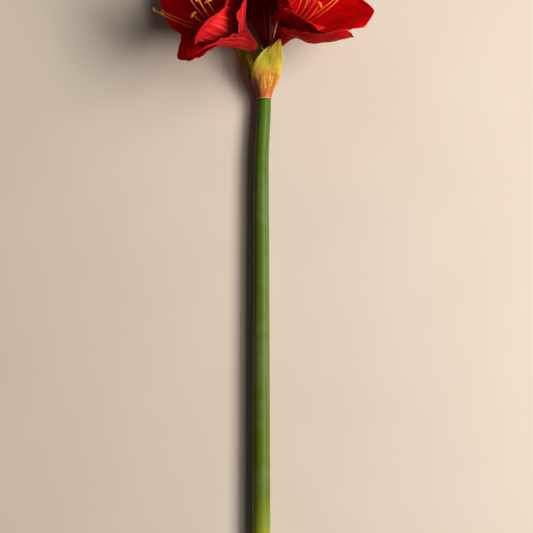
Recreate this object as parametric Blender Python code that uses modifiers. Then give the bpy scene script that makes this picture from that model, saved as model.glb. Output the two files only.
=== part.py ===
"""Amaryllis stem, cut and laid down: one long hollow scape with its spathe and three red blooms.

Metres, +Z up. The scape lies along +Y with the blooms at its far end, and rests on a small flat
near its cut end and on the lowest tepals. The origin is the middle of the whole flower's footprint.
"""
import math

import bmesh
import bpy
from mathutils import Matrix, Vector

# Scape: the flower stalk
SCAPE_LENGTH = 0.490
SCAPE_CUT_RADIUS = 0.0102
SCAPE_TOP_RADIUS = 0.0071
SCAPE_TAPER_POWER = 0.45
SCAPE_WALL = 0.0030
SCAPE_HEIGHT = 0.0098
SCAPE_DOME = 0.0035
SCAPE_SHOULDER = 0.0012
SCAPE_DOME_SHARE = 0.75
SCAPE_CHAMFER = 0.0004
SCAPE_SIDES = 24
SCAPE_STATIONS = 9
STATION_CROWDING = 1.5
BORE_END = 0.014
BORE_END_TAPER = 0.004
HEAD_LEAN = 0.0036
HEAD_LEAN_OVER = (-0.075, 0.010)
REST_FLAT_LENGTH = 0.135
FLAT_CUTTER_DEPTH = 0.010
FLAT_CUTTER_OVER = 0.004

# Clearances and skins
GAP = 0.0003
TEPAL_THICKNESS = 0.0008
BRACT_THICKNESS = 0.0009
SURFACE_CLEARANCE = 0.0005

# Pedicel and ovary
PEDICEL_RADIUS = 0.0025
PEDICEL_RING = 0.0038
PEDICEL_FOOT_TURN = {"left": 150.0, "right": 30.0, "centre": 270.0}
PEDICEL_FOOT_PULL = 0.36
PEDICEL_HEAD_PULL = 0.27
OVARY_RADIUS = 0.0047
OVARY_LENGTH = 0.019
OVARY_NECK_RADIUS = 0.0042
OVARY_LOBE = 0.12
OVARY_SWELLS_OVER = (1.15, 0.6)
OVARY_NECK_OVER = 0.35
PEDICEL_SIDES = 12
PEDICEL_STATIONS = 13

# Perianth
TUBE_LENGTH = 0.013
TUBE_WALL = 0.0018
TUBE_FLOOR = 0.0015
TUBE_BASE_RADIUS = 0.0052
TUBE_MOUTH = 0.0017
TUBE_FLARE = math.radians(14.0)
TUBE_SIDES = 18
TEPAL_ROOT_HEIGHT = 0.004
TEPAL_OPENS_OVER = (0.05, 0.42)
TEPAL_CURL_ENDS = 1.05
OUTER_LENGTH = 0.130
INNER_LENGTH = 0.122
OUTER_HALF_WIDTH = 0.0320
INNER_HALF_WIDTH = 0.0270
WHORL_ROOT_STEP = 0.0005
WHORL_STEP = 0.0026
TEPAL_ROWS = 10
TEPAL_COLUMNS = 6
MIDRIB_STEPS = 60

# A tepal's blade: its narrow claw, where it is widest and how blunt; bends are 1 / radius
CLAW_SHARE = 0.07
WIDTH_SKEW = 1.3
WIDTH_BLUNTNESS = 0.72
OUTER_LEAVES_TUBE = (0.12, 0.50)
INNER_LEAVES_TUBE = (0.40, 0.75)
BLADE_BEND = 18.0
TIP_BEND = 4.0
TIP_FLATTENS_OVER = (0.6, 1.0)
LEAST_BEND = 0.01
LEAST_TUBE_RADIUS = 0.003
EDGE_WAVE = 0.0022
EDGE_WAVE_OVER = (0.3, 0.85)
EDGE_WAVE_POWER = 2.2
EDGE_RIPPLES = 1.6
FAR_EDGE_PHASE = 1.7
KEEL_DEPTH = 0.0008
KEEL_HALF_WIDTH = 0.0024
KEEL_OVER = (0.02, 0.15)
KEEL_FADES = 0.6
WHORLS_PART_OVER = (0.03, 0.25)

# Stamens and pistil
FILAMENT_RADIUS = 0.0009
FILAMENT_LENGTH = 0.086
SHORT_FILAMENT = 0.88
FILAMENT_TAPER = 0.35
FILAMENT_SPREAD = 0.005
FILAMENT_POINTS = 8
ANTHER_LENGTH = 0.0085
ANTHER_RADIUS = 0.0012
ANTHER_DROOP = 0.0016
ANTHER_TAPER = 0.55
ANTHER_POINTS = 5
COLLAR_HEIGHT = 0.0045
COLLAR_LENGTH = 0.004
COLLAR_WALL = 0.0014
STYLE_RADIUS = 0.0011
STYLE_LENGTH = 0.104
STYLE_POINTS = 11
STYLE_TAPER = 0.3
STYLE_SAG_SHAPE = 6.75
STYLE_RISE_POWER = 3.5
STIGMA_LENGTH = 0.0055
STIGMA_ROOT = 0.0008
STIGMA_SPREAD = 0.8
STIGMA_CURLS_BACK = (0.7, 0.35)
STIGMA_LOBE_RADIUS = 0.0006
STIGMA_LOBE_TAPER = 0.3

# Spathe: each bract's length, half width, share of the length where it is widest, lean to the
# right, and how its cross section rises, deepens, flattens and opens towards the tip
BRACT_FOOT = 0.0008
BRACT_WRAP = math.radians(88.0)
FRONT_BRACT_LENGTH = 0.0605
FRONT_BRACT_HALF_WIDTH = 0.0163
FRONT_BRACT_WIDEST = 0.43
FRONT_BRACT_NARROWS_POWER = 2.4
FRONT_BRACT_LEAN = 0.0170
FRONT_BRACT_LEAN_POWER = 2.6
FRONT_BRACT_RISE = 0.0245
FRONT_BRACT_RISES_OVER = (-0.2, 1.0)
FRONT_BRACT_DEEPENS = 0.0020
FRONT_BRACT_DEEPENS_OVER = (0.0, 0.3)
FRONT_BRACT_FLATTENS = 0.0068
FRONT_BRACT_FLATTENS_OVER = (0.20, 0.75)
FRONT_BRACT_OPENS = math.radians(34.0)
FRONT_BRACT_OPENS_OVER = (0.2, 0.8)
REAR_BRACT_LENGTH = 0.0690
REAR_BRACT_HALF_WIDTH = 0.0112
REAR_BRACT_WIDEST = 0.50
REAR_BRACT_NARROWS_POWER = 3.0
REAR_BRACT_LEAN = -0.0310
REAR_BRACT_LEAN_POWER = 1.6
REAR_BRACT_SINKS = 0.0008
REAR_BRACT_SINKS_OVER = (0.0, 0.3)
REAR_BRACT_LIFTS = 0.0030
REAR_BRACT_LIFTS_OVER = (0.6, 1.0)
REAR_BRACT_FLATTENS = 0.0058
REAR_BRACT_FLATTENS_OVER = (0.05, 0.35)
REAR_BRACT_OPENS = math.radians(20.0)
REAR_BRACT_OPENS_OVER = (0.2, 1.0)
BRACT_ROWS = 14
BRACT_COLUMNS = 8


def smooth(x, low, high):
    """A soft step from 0 at low to 1 at high."""
    t = min(1.0, max(0.0, (x - low) / (high - low)))
    return t * t * (3.0 - 2.0 * t)


def above_surface(height, level, softness=0.0025):
    """The height, bent softly so that it never falls under the level."""
    steps = (height - level) / softness
    if steps > 30.0:
        return height
    return level + softness * math.log1p(math.exp(steps))


class Bloom:
    """Where a bloom stands, which way it opens, and how its tepals differ."""

    def __init__(self, name, base, azimuth, elevation, tepals, sag, rise, fan, scale=1.0, reach=1.0):
        self.name = name
        self.sag, self.rise, self.fan, self.reach = sag, rise, fan, reach
        self.base = Vector(base)
        turn, tilt = math.radians(azimuth), math.radians(elevation)
        self.axis = Vector(
            (math.cos(tilt) * math.cos(turn), math.cos(tilt) * math.sin(turn), math.sin(tilt))
        )
        self.down = Vector(
            (math.sin(tilt) * math.cos(turn), math.sin(tilt) * math.sin(turn), -math.cos(tilt))
        )
        self.side = Vector((math.sin(turn), -math.cos(turn), 0.0))
        self.tepals = tepals
        self.scale = scale

    def outward(self, turn):
        """The direction square to the bloom's axis, turned from the side that faces the surface."""
        angle = math.radians(turn)
        return self.down * math.cos(angle) + self.side * math.sin(angle)


def tepal(turn, opening, curl, phase, length=1.0, width=1.0, curl_from=0.5):
    """One tepal's own habit: degrees round and from the axis, and shares of its whorl's size."""
    return dict(turn=turn, opening=opening, curl=curl, phase=phase, length=length, width=width,
                curl_from=curl_from)


BLOOMS = (
    Bloom("left", (-0.0052, 0.0540, 0.0245), 150.0, 38.0, (
        tepal(122.0, 48.0, 8.0, length=0.93, width=1.30, phase=0.2),
        tepal(-112.0, 29.0, 34.0, length=0.70, phase=0.7),
        tepal(6.0, 44.0, 20.0, length=0.95, width=1.10, phase=0.4),
        tepal(-160.0, 29.0, 24.0, length=0.99, width=1.18, phase=0.3),
        tepal(-57.0, 30.0, 72.0, length=0.73, width=1.20, curl_from=0.35, phase=0.6),
        tepal(64.0, 29.0, 20.0, width=1.05, phase=0.0),
    ), sag=0.008, rise=0.012, fan=(0.060, 0.012), reach=1.12),
    Bloom("right", (0.0165, 0.0570, 0.0240), 52.0, 41.0, (
        tepal(124.0, 62.0, -50.0, length=0.84, width=1.30, curl_from=0.3, phase=0.6),
        tepal(0.0, 48.0, 25.0, phase=0.9),
        tepal(-128.0, 34.0, 24.0, width=1.10, phase=0.4),
        tepal(165.0, 43.0, 18.0, phase=0.2),
        tepal(-48.0, 35.0, 20.0, phase=0.5),
        tepal(62.0, 45.0, 5.0, length=0.90, width=1.66, phase=0.1),
    ), sag=0.0105, rise=-0.004, fan=(0.010, 0.022)),
    Bloom("centre", (0.0075, 0.0565, 0.0100), 97.0, 11.0, (
        tepal(180.0, 21.0, 18.0, phase=0.2, width=1.35),
        tepal(-60.0, 42.0, 0.0, phase=0.5, width=1.2),
        tepal(60.0, 38.0, 4.0, phase=0.1, width=1.2),
        tepal(0.0, 15.0, 16.0, phase=0.9, width=0.9),
        tepal(-120.0, 28.0, 8.0, phase=0.4, width=1.1),
        tepal(120.0, 25.0, 8.0, phase=0.6, width=1.05),
    ), scale=0.90, sag=0.002, rise=0.003, fan=(0.004, 0.004)),
)


def midrib_path(habit, length, root_radius):
    """Radius, height along the axis and angle to it, at even steps of the tepal's length."""
    radius, height = root_radius, TEPAL_ROOT_HEIGHT
    step = length / MIDRIB_STEPS
    opening = math.radians(habit["opening"])
    rows = []
    for i in range(MIDRIB_STEPS + 1):
        s = i / MIDRIB_STEPS
        angle = TUBE_FLARE + (opening - TUBE_FLARE) * smooth(s, *TEPAL_OPENS_OVER)
        angle += math.radians(habit["curl"]) * smooth(s, habit["curl_from"], TEPAL_CURL_ENDS)
        rows.append((radius, height, angle))
        radius += step * math.sin(angle)
        height += step * math.cos(angle)
    return rows


def width_share(s):
    """How wide a tepal is along its length: a narrow claw, widest past the middle, a pointed tip."""
    along = CLAW_SHARE + (1.0 - CLAW_SHARE) * s
    return math.sin(math.pi * along ** WIDTH_SKEW) ** WIDTH_BLUNTNESS


def tepal_point(bloom, habit, path, half_width, layer, s, u):
    """The point of a tepal's middle sheet at share s of its length and u from edge -1 to edge 1."""
    place = s * (len(path) - 1)
    i = min(int(place), len(path) - 2)
    radius, height, angle = (a + (b - a) * (place - i) for a, b in zip(path[i], path[i + 1]))
    outward = bloom.outward(habit["turn"])
    across = bloom.axis.cross(outward)
    inward = bloom.axis * math.sin(angle) - outward * math.cos(angle)
    offset = half_width * width_share(s) * u
    round_tube = math.cos(angle) / max(radius, LEAST_TUBE_RADIUS)
    leaves_tube = OUTER_LEAVES_TUBE if layer == 0.0 else INNER_LEAVES_TUBE
    bend = round_tube + (BLADE_BEND - round_tube) * smooth(s, *leaves_tube)
    bend += (TIP_BEND - BLADE_BEND) * smooth(s, *TIP_FLATTENS_OVER)
    bend = bend if abs(bend) > LEAST_BEND else LEAST_BEND
    sideways = math.sin(bend * offset) / bend
    lift = (1.0 - math.cos(bend * offset)) / bend
    beat = EDGE_RIPPLES * s + habit["phase"] * (1.0 if u > 0.0 else FAR_EDGE_PHASE)
    wave = EDGE_WAVE * smooth(s, *EDGE_WAVE_OVER) * math.sin(2.0 * math.pi * beat)
    wave *= abs(u) ** EDGE_WAVE_POWER
    keel = -KEEL_DEPTH * math.exp(-((offset / KEEL_HALF_WIDTH) ** 2))
    keel *= smooth(s, *KEEL_OVER) * (1.0 - KEEL_FADES * s)
    point = bloom.base + outward * radius + bloom.axis * height
    lift += layer * smooth(s, *WHORLS_PART_OVER)
    point += across * sideways + inward * (lift + wave + keel)
    point.z = above_surface(point.z, SURFACE_CLEARANCE)
    return point


def tepal_sheet(bloom, number, rows=TEPAL_ROWS, columns=TEPAL_COLUMNS):
    """A bmesh of one tepal's middle sheet, all triangles. Numbers 0 to 2 are the outer whorl."""
    habit = bloom.tepals[number]
    outer = number < 3
    length = (OUTER_LENGTH if outer else INNER_LENGTH) * habit["length"] * bloom.scale
    half_width = (OUTER_HALF_WIDTH if outer else INNER_HALF_WIDTH) * habit["width"] * bloom.scale
    root = TUBE_BASE_RADIUS + TEPAL_ROOT_HEIGHT * math.tan(TUBE_FLARE) - TUBE_WALL / 2.0
    root += (0.5 if outer else -0.5) * WHORL_ROOT_STEP
    layer = 0.0 if outer else WHORL_STEP - WHORL_ROOT_STEP
    path = midrib_path(habit, length, root)
    mesh = bmesh.new()
    previous = None
    for r in range(rows):
        line = []
        for c in range(columns + 1):
            u = 2.0 * c / columns - 1.0
            point = tepal_point(bloom, habit, path, half_width, layer, r / rows, u)
            line.append(mesh.verts.new(point))
        if previous:
            for c in range(columns):
                a, b, d, e = previous[c], previous[c + 1], line[c + 1], line[c]
                if c < columns // 2:
                    mesh.faces.new((a, b, d))
                    mesh.faces.new((a, d, e))
                else:
                    mesh.faces.new((a, b, e))
                    mesh.faces.new((b, d, e))
        previous = line
    tip = mesh.verts.new(tepal_point(bloom, habit, path, half_width, layer, 1.0, 0.0))
    for c in range(columns):
        mesh.faces.new((previous[c], previous[c + 1], tip))
    return mesh


def new_object(name, mesh, collection, material=None):
    """An object of this mesh, in the collection, with its material."""
    obj = bpy.data.objects.new(name, mesh)
    collection.objects.link(obj)
    if material:
        mesh.materials.append(material)
    return obj


def object_from_bmesh(name, mesh_edit, collection, material=None):
    """An object from an edited mesh, which is freed."""
    mesh = bpy.data.meshes.new(name)
    mesh_edit.to_mesh(mesh)
    mesh_edit.free()
    return new_object(name, mesh, collection, material)


def apply_modifiers(obj):
    """Replaces an object's mesh with what its modifiers make of it."""
    bpy.context.view_layer.update()
    evaluated = obj.evaluated_get(bpy.context.evaluated_depsgraph_get())
    old = obj.data
    mesh = bpy.data.meshes.new_from_object(evaluated)
    obj.modifiers.clear()
    obj.data = mesh
    mesh.name = obj.name
    bpy.data.meshes.remove(old)


def thicken(obj, thickness):
    """Gives an open sheet its thickness, half on each side."""
    solid = obj.modifiers.new("thickness", "SOLIDIFY")
    solid.thickness = thickness
    solid.offset = 0.0
    apply_modifiers(obj)


def turned(name, profile, sides, collection, closed=False, material=None):
    """A shape turned about Z from (radius, height) points that run down its outer side."""
    mesh_edit = bmesh.new()
    points = [mesh_edit.verts.new((radius, 0.0, height)) for radius, height in profile]
    for first, second in zip(points, points[1:]):
        mesh_edit.edges.new((first, second))
    if closed:
        mesh_edit.edges.new((points[-1], points[0]))
    obj = object_from_bmesh(name, mesh_edit, collection, material)
    screw = obj.modifiers.new("turn", "SCREW")
    screw.steps = screw.render_steps = sides
    screw.use_merge_vertices = True
    screw.merge_threshold = 0.00001
    apply_modifiers(obj)
    return obj


def placed_on_axis(obj, base, axis):
    """Moves a turned shape's own Z onto a bloom's axis, its foot at the base."""
    frame = axis.to_track_quat("Z", "Y").to_matrix().to_4x4()
    obj.data.transform(Matrix.Translation(base) @ frame)


def rod(name, points, radii, collection, resolution=1):
    """A round rod through the points, with its own radius at each, as one closed mesh."""
    curve = bpy.data.curves.new(name, "CURVE")
    curve.dimensions = "3D"
    curve.bevel_depth = 1.0
    curve.bevel_resolution = resolution
    curve.use_fill_caps = True
    spline = curve.splines.new("POLY")
    spline.points.add(len(points) - 1)
    for knot, point, radius in zip(spline.points, points, radii):
        knot.co = (*point, 1.0)
        knot.radius = radius
    guide = new_object(name + "_guide", curve, collection)
    bpy.context.view_layer.update()
    evaluated = guide.evaluated_get(bpy.context.evaluated_depsgraph_get())
    mesh = bpy.data.meshes.new_from_object(evaluated)
    bpy.data.objects.remove(guide)
    bpy.data.curves.remove(curve)
    mesh_edit = bmesh.new()
    mesh_edit.from_mesh(mesh)
    bpy.data.meshes.remove(mesh)
    bmesh.ops.remove_doubles(mesh_edit, verts=mesh_edit.verts, dist=0.000001)
    bmesh.ops.recalc_face_normals(mesh_edit, faces=mesh_edit.faces)
    return object_from_bmesh(name, mesh_edit, collection)


def fused(base, parts):
    """Joins the parts into the base by one Boolean union, and removes them."""
    group = bpy.data.collections.new(base.name + "_parts")
    bpy.context.scene.collection.children.link(group)
    for piece in parts:
        for home in list(piece.users_collection):
            home.objects.unlink(piece)
        group.objects.link(piece)
    union = base.modifiers.new("union", "BOOLEAN")
    union.operation = "UNION"
    union.operand_type = "COLLECTION"
    union.collection = group
    union.solver = "MANIFOLD"
    apply_modifiers(base)
    for piece in list(group.objects):
        mesh = piece.data
        bpy.data.objects.remove(piece)
        bpy.data.meshes.remove(mesh)
    bpy.data.collections.remove(group)
    one_body(base)


def one_body(obj):
    """Keeps the outer skin alone: hollows that the union sealed are filled, loose scraps dropped."""
    mesh_edit = bmesh.new()
    mesh_edit.from_mesh(obj.data)
    unseen = set(mesh_edit.faces)
    skins = []
    while unseen:
        skin, edge_of_skin = [], [unseen.pop()]
        while edge_of_skin:
            face = edge_of_skin.pop()
            skin.append(face)
            for edge in face.edges:
                for neighbour in edge.link_faces:
                    if neighbour in unseen:
                        unseen.remove(neighbour)
                        edge_of_skin.append(neighbour)
        skins.append(skin)
    skins.sort(key=lambda skin: sum(face.calc_area() for face in skin))
    extra = [face for skin in skins[:-1] for face in skin]
    if extra:
        bmesh.ops.delete(mesh_edit, geom=extra, context="FACES")
    mesh_edit.to_mesh(obj.data)
    mesh_edit.free()


def perianth(bloom, collection, material):
    """The red tube and the six tepals that grow out of its wall."""
    def outside(height):
        return TUBE_BASE_RADIUS + height * math.tan(TUBE_FLARE)

    profile = (
        (outside(TUBE_LENGTH), TUBE_LENGTH),
        (outside(0.0), 0.0),
        (TUBE_MOUTH, 0.0),
        (TUBE_MOUTH, TUBE_FLOOR),
        (outside(TUBE_FLOOR) - TUBE_WALL, TUBE_FLOOR),
        (outside(TUBE_LENGTH) - TUBE_WALL, TUBE_LENGTH),
    )
    tube = turned("perianth_" + bloom.name, profile, TUBE_SIDES, collection, True, material)
    placed_on_axis(tube, bloom.base, bloom.axis)
    sheets = []
    for number in range(6):
        sheet = object_from_bmesh("tepal", tepal_sheet(bloom, number), collection)
        thicken(sheet, TEPAL_THICKNESS)
        sheets.append(sheet)
    fused(tube, sheets)
    return tube


def upward(bloom):
    """The way up for the growing flower, square to the bloom's axis: the stamens curve to it."""
    up = Vector((0.0, 1.0, 0.0))
    up -= bloom.axis * up.dot(bloom.axis)
    return up.normalized()


def style_line(bloom, distance):
    """The bent line through the bloom's middle: it sags to its lower side and rises at its end."""
    q = distance / (STYLE_LENGTH * bloom.scale * bloom.reach)
    droop = bloom.rise * q ** STYLE_RISE_POWER - bloom.sag * STYLE_SAG_SHAPE * q * q * (1.0 - q)
    return bloom.base + bloom.axis * distance + upward(bloom) * droop


def filament_path(bloom, number):
    """The line of one filament, beside the style at its root and spreading sideways from it."""
    up = upward(bloom)
    across = bloom.axis.cross(up)
    turn = math.radians(60.0 * number + 30.0)
    radial = up * math.sin(turn) + across * math.cos(turn)
    root = TUBE_BASE_RADIUS + COLLAR_HEIGHT * math.tan(TUBE_FLARE) - TUBE_WALL - GAP - COLLAR_WALL / 2
    length = FILAMENT_LENGTH * bloom.scale * bloom.reach * (1.0 if number % 2 else SHORT_FILAMENT)
    spread = math.cos(turn) * bloom.fan[0 if math.cos(turn) > 0.0 else 1]
    path = []
    for i in range(FILAMENT_POINTS):
        t = i / (FILAMENT_POINTS - 1)
        point = style_line(bloom, COLLAR_HEIGHT + COLLAR_LENGTH / 2 + length * t)
        point += radial * (root + FILAMENT_SPREAD * t) + across * (spread * t * t)
        path.append(point)
    return path


def tapered(radius, loss, count):
    """Radii along a rod that loses this share of its radius by its last point."""
    return [radius * (1.0 - loss * i / (count - 1)) for i in range(count)]


def stamens(bloom, collection, material):
    """Six filaments on one ring in the throat, each with a curved anther across its tip."""
    low = TUBE_BASE_RADIUS + COLLAR_HEIGHT * math.tan(TUBE_FLARE) - TUBE_WALL - GAP
    high = low + COLLAR_LENGTH * math.tan(TUBE_FLARE)
    top = COLLAR_HEIGHT + COLLAR_LENGTH
    profile = (
        (high, top),
        (low, COLLAR_HEIGHT),
        (low - COLLAR_WALL, COLLAR_HEIGHT),
        (high - COLLAR_WALL, top),
    )
    ring = turned("stamens_" + bloom.name, profile, TUBE_SIDES, collection, True, material)
    placed_on_axis(ring, bloom.base, bloom.axis)
    parts = []
    for number in range(6):
        path = filament_path(bloom, number)
        radii = tapered(FILAMENT_RADIUS, FILAMENT_TAPER, len(path))
        parts.append(rod("filament", path, radii, collection, resolution=0))
        parts.append(anther(bloom, path, collection))
    fused(ring, parts)
    return ring


def anther(bloom, path, collection):
    """A crescent pollen sac balanced across the tip of its filament."""
    along = (path[-1] - path[-2]).normalized()
    across = along.cross(bloom.axis.cross(along)).normalized()
    if across.length < 0.5:
        across = along.orthogonal()
    points, radii = [], []
    for i in range(ANTHER_POINTS):
        share = 2.0 * i / (ANTHER_POINTS - 1) - 1.0
        point = path[-1] + across * (share * ANTHER_LENGTH / 2) - along * (ANTHER_DROOP * share ** 2)
        points.append(point)
        radii.append(ANTHER_RADIUS * (1.0 - ANTHER_TAPER * share ** 2))
    return rod("anther", points, radii, collection)


def pistil(bloom, collection, material):
    """The style, longer than the stamens, with a stigma of three short lobes."""
    length = STYLE_LENGTH * bloom.scale * bloom.reach
    path = [
        style_line(bloom, GAP + (length - GAP) * i / (STYLE_POINTS - 1)) for i in range(STYLE_POINTS)
    ]
    radii = tapered(STYLE_RADIUS, STYLE_TAPER, STYLE_POINTS)
    style = rod("pistil_" + bloom.name, path, radii, collection)
    style.data.materials.append(material)
    along = (path[-1] - path[-2]).normalized()
    first = along.orthogonal().normalized()
    lobes = []
    reach, turns_back = STIGMA_CURLS_BACK
    for k in range(3):
        angle = math.radians(120.0 * k)
        out = first * math.cos(angle) + along.cross(first) * math.sin(angle)
        points = [
            path[-1] + along * (STIGMA_LENGTH * (reach * share - turns_back * share ** 2) - STIGMA_ROOT)
            + out * (STIGMA_LENGTH * STIGMA_SPREAD * share ** 2)
            for share in (0.0, 0.35, 0.7, 1.0)
        ]
        radii = tapered(STIGMA_LOBE_RADIUS, STIGMA_LOBE_TAPER, len(points))
        lobes.append(rod("lobe", points, radii, collection))
    fused(style, lobes)
    return style


def lofted(name, rings, collection, material):
    """One closed skin through rings of points, flat at both ends."""
    mesh_edit = bmesh.new()
    rows = [[mesh_edit.verts.new(point) for point in ring] for ring in rings]
    count = len(rows[0])
    for low, high in zip(rows, rows[1:]):
        for k in range(count):
            j = (k + 1) % count
            mesh_edit.faces.new((low[k], low[j], high[j], high[k]))
    mesh_edit.faces.new(rows[0][::-1])
    mesh_edit.faces.new(rows[-1])
    bmesh.ops.triangulate(mesh_edit, faces=mesh_edit.faces)
    bmesh.ops.recalc_face_normals(mesh_edit, faces=mesh_edit.faces)
    return object_from_bmesh(name, mesh_edit, collection, material)


def pedicel_rings(bloom):
    """Rings from the scape's top up the pedicel and over the three-lobed ovary."""
    angle = math.radians(PEDICEL_FOOT_TURN[bloom.name])
    start = scape_top() + Vector((math.cos(angle), 0.0, math.sin(angle))) * PEDICEL_RING
    end = bloom.base - bloom.axis * GAP
    reach = (end - start).length
    first = start + Vector((0.0, reach * PEDICEL_FOOT_PULL, 0.0))
    second = end - bloom.axis * reach * PEDICEL_HEAD_PULL
    rings = []
    side = Vector((1.0, 0.0, 0.0))
    for i in range(PEDICEL_STATIONS + 1):
        t = i / PEDICEL_STATIONS
        centre = (start * (1 - t) ** 3 + first * 3 * t * (1 - t) ** 2
                  + second * 3 * t * t * (1 - t) + end * t ** 3)
        along = ((first - start) * (1 - t) ** 2 + (second - first) * 2 * t * (1 - t)
                 + (end - second) * t * t).normalized()
        side = (side - along * side.dot(along)).normalized()
        other = along.cross(side)
        to_end = (1.0 - t) * reach
        ovary = smooth(to_end / OVARY_LENGTH, *OVARY_SWELLS_OVER)
        neck = smooth(to_end / OVARY_LENGTH, OVARY_NECK_OVER, 0.0)
        radius = PEDICEL_RADIUS + (OVARY_RADIUS - PEDICEL_RADIUS) * ovary
        radius += (OVARY_NECK_RADIUS - OVARY_RADIUS) * neck
        ring = []
        for k in range(PEDICEL_SIDES):
            around = 2.0 * math.pi * k / PEDICEL_SIDES
            lobe = 1.0 + OVARY_LOBE * ovary * (1.0 - neck) * math.cos(3.0 * around)
            ring.append(centre + (side * math.cos(around) + other * math.sin(around)) * radius * lobe)
        rings.append(ring)
    return rings


def scape_lean(y):
    """How far the scape's axis leans to the right at this place along it."""
    return HEAD_LEAN * smooth(y, *HEAD_LEAN_OVER)


def scape_radius(y):
    """The scape's outer radius at this place: it tapers to the head."""
    share = min(1.0, max(0.0, -y / SCAPE_LENGTH))
    return SCAPE_TOP_RADIUS + (SCAPE_CUT_RADIUS - SCAPE_TOP_RADIUS) * share ** SCAPE_TAPER_POWER


def scape_top():
    """The point just above the scape's domed top, where the pedicels stand."""
    return Vector((scape_lean(SCAPE_DOME), SCAPE_DOME + GAP, SCAPE_HEIGHT))


def scape(collection, cutters, material):
    """The hollow stalk, open at its cut end, with the small flat that it rests on."""
    profile = [
        (0.0, SCAPE_DOME),
        (SCAPE_TOP_RADIUS * SCAPE_DOME_SHARE, SCAPE_DOME),
        (SCAPE_TOP_RADIUS, SCAPE_SHOULDER),
    ]
    for i in range(SCAPE_STATIONS + 1):
        y = -SCAPE_LENGTH * (i / SCAPE_STATIONS) ** STATION_CROWDING
        if i == SCAPE_STATIONS:
            y += SCAPE_CHAMFER
        profile.append((scape_radius(y), y))
    profile.append((SCAPE_CUT_RADIUS - SCAPE_CHAMFER, -SCAPE_LENGTH))
    profile.append((SCAPE_CUT_RADIUS - SCAPE_WALL, -SCAPE_LENGTH))
    for i in range(SCAPE_STATIONS - 1, 1, -1):
        y = -SCAPE_LENGTH * (i / SCAPE_STATIONS) ** STATION_CROWDING
        profile.append((scape_radius(y) - SCAPE_WALL, y))
    profile.append((SCAPE_TOP_RADIUS - SCAPE_WALL, -BORE_END - BORE_END_TAPER))
    profile.append((0.0, -BORE_END))
    stalk = turned("scape", profile, SCAPE_SIDES, collection, False, material)
    stalk.data.transform(Matrix.Rotation(math.radians(-90.0), 4, "X"))
    stalk.data.transform(Matrix.Translation((0.0, 0.0, SCAPE_HEIGHT)))
    for vertex in stalk.data.vertices:
        vertex.co.x += scape_lean(vertex.co.y)
    bpy.ops.mesh.primitive_cube_add(size=1.0)
    flat = bpy.context.object
    flat.name = "rest_flat_cutter"
    for home in list(flat.users_collection):
        home.objects.unlink(flat)
    cutters.objects.link(flat)
    flat.dimensions = (3 * SCAPE_CUT_RADIUS, REST_FLAT_LENGTH + FLAT_CUTTER_OVER, FLAT_CUTTER_DEPTH)
    middle = -SCAPE_LENGTH + (REST_FLAT_LENGTH - FLAT_CUTTER_OVER) / 2
    flat.location = (0.0, middle, -FLAT_CUTTER_DEPTH / 2)
    flat.hide_render = True
    flat.display_type = "WIRE"
    cut = stalk.modifiers.new("rest flat", "BOOLEAN")
    cut.operation = "DIFFERENCE"
    cut.object = flat
    return stalk


def bract_width(t, base, widest, where, power):
    """The half width of a bract: from its base out to its widest, then in to a point."""
    if t < where:
        return base + (widest - base) * smooth(t, 0.0, where)
    return widest * (1.0 - ((t - where) / (1.0 - where)) ** power)


def front_bract_point(t, u):
    """The bract on the upper side, cupped over the ovaries and leaning to the right."""
    base = SCAPE_TOP_RADIUS + GAP + BRACT_THICKNESS / 2
    half = bract_width(t, base, FRONT_BRACT_HALF_WIDTH, FRONT_BRACT_WIDEST, FRONT_BRACT_NARROWS_POWER)
    centre = scape_lean(0.0) + FRONT_BRACT_LEAN * t ** FRONT_BRACT_LEAN_POWER
    crest = SCAPE_HEIGHT + base + FRONT_BRACT_RISE * smooth(t, *FRONT_BRACT_RISES_OVER)
    depth = base + FRONT_BRACT_DEEPENS * smooth(t, *FRONT_BRACT_DEEPENS_OVER)
    depth -= FRONT_BRACT_FLATTENS * smooth(t, *FRONT_BRACT_FLATTENS_OVER)
    wrap = BRACT_WRAP - FRONT_BRACT_OPENS * smooth(t, *FRONT_BRACT_OPENS_OVER)
    x = centre + half * math.sin(u * wrap) / math.sin(wrap)
    z = crest - depth * (1.0 - math.cos(u * wrap))
    y = BRACT_FOOT + FRONT_BRACT_LENGTH * t
    return Vector((x, y, z))


def rear_bract_point(t, u):
    """The bract on the surface's side, leaning to the left, its hollow side up."""
    base = SCAPE_TOP_RADIUS + GAP + BRACT_THICKNESS / 2
    half = bract_width(t, base, REAR_BRACT_HALF_WIDTH, REAR_BRACT_WIDEST, REAR_BRACT_NARROWS_POWER)
    centre = scape_lean(0.0) + REAR_BRACT_LEAN * t ** REAR_BRACT_LEAN_POWER
    crest = SCAPE_HEIGHT - base - REAR_BRACT_SINKS * smooth(t, *REAR_BRACT_SINKS_OVER)
    crest += REAR_BRACT_LIFTS * smooth(t, *REAR_BRACT_LIFTS_OVER)
    depth = base - REAR_BRACT_FLATTENS * smooth(t, *REAR_BRACT_FLATTENS_OVER)
    wrap = BRACT_WRAP - REAR_BRACT_OPENS * smooth(t, *REAR_BRACT_OPENS_OVER)
    x = centre + half * math.sin(u * wrap) / math.sin(wrap)
    z = crest + depth * (1.0 - math.cos(u * wrap))
    y = BRACT_FOOT + REAR_BRACT_LENGTH * t
    return Vector((x, y, z))


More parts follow.
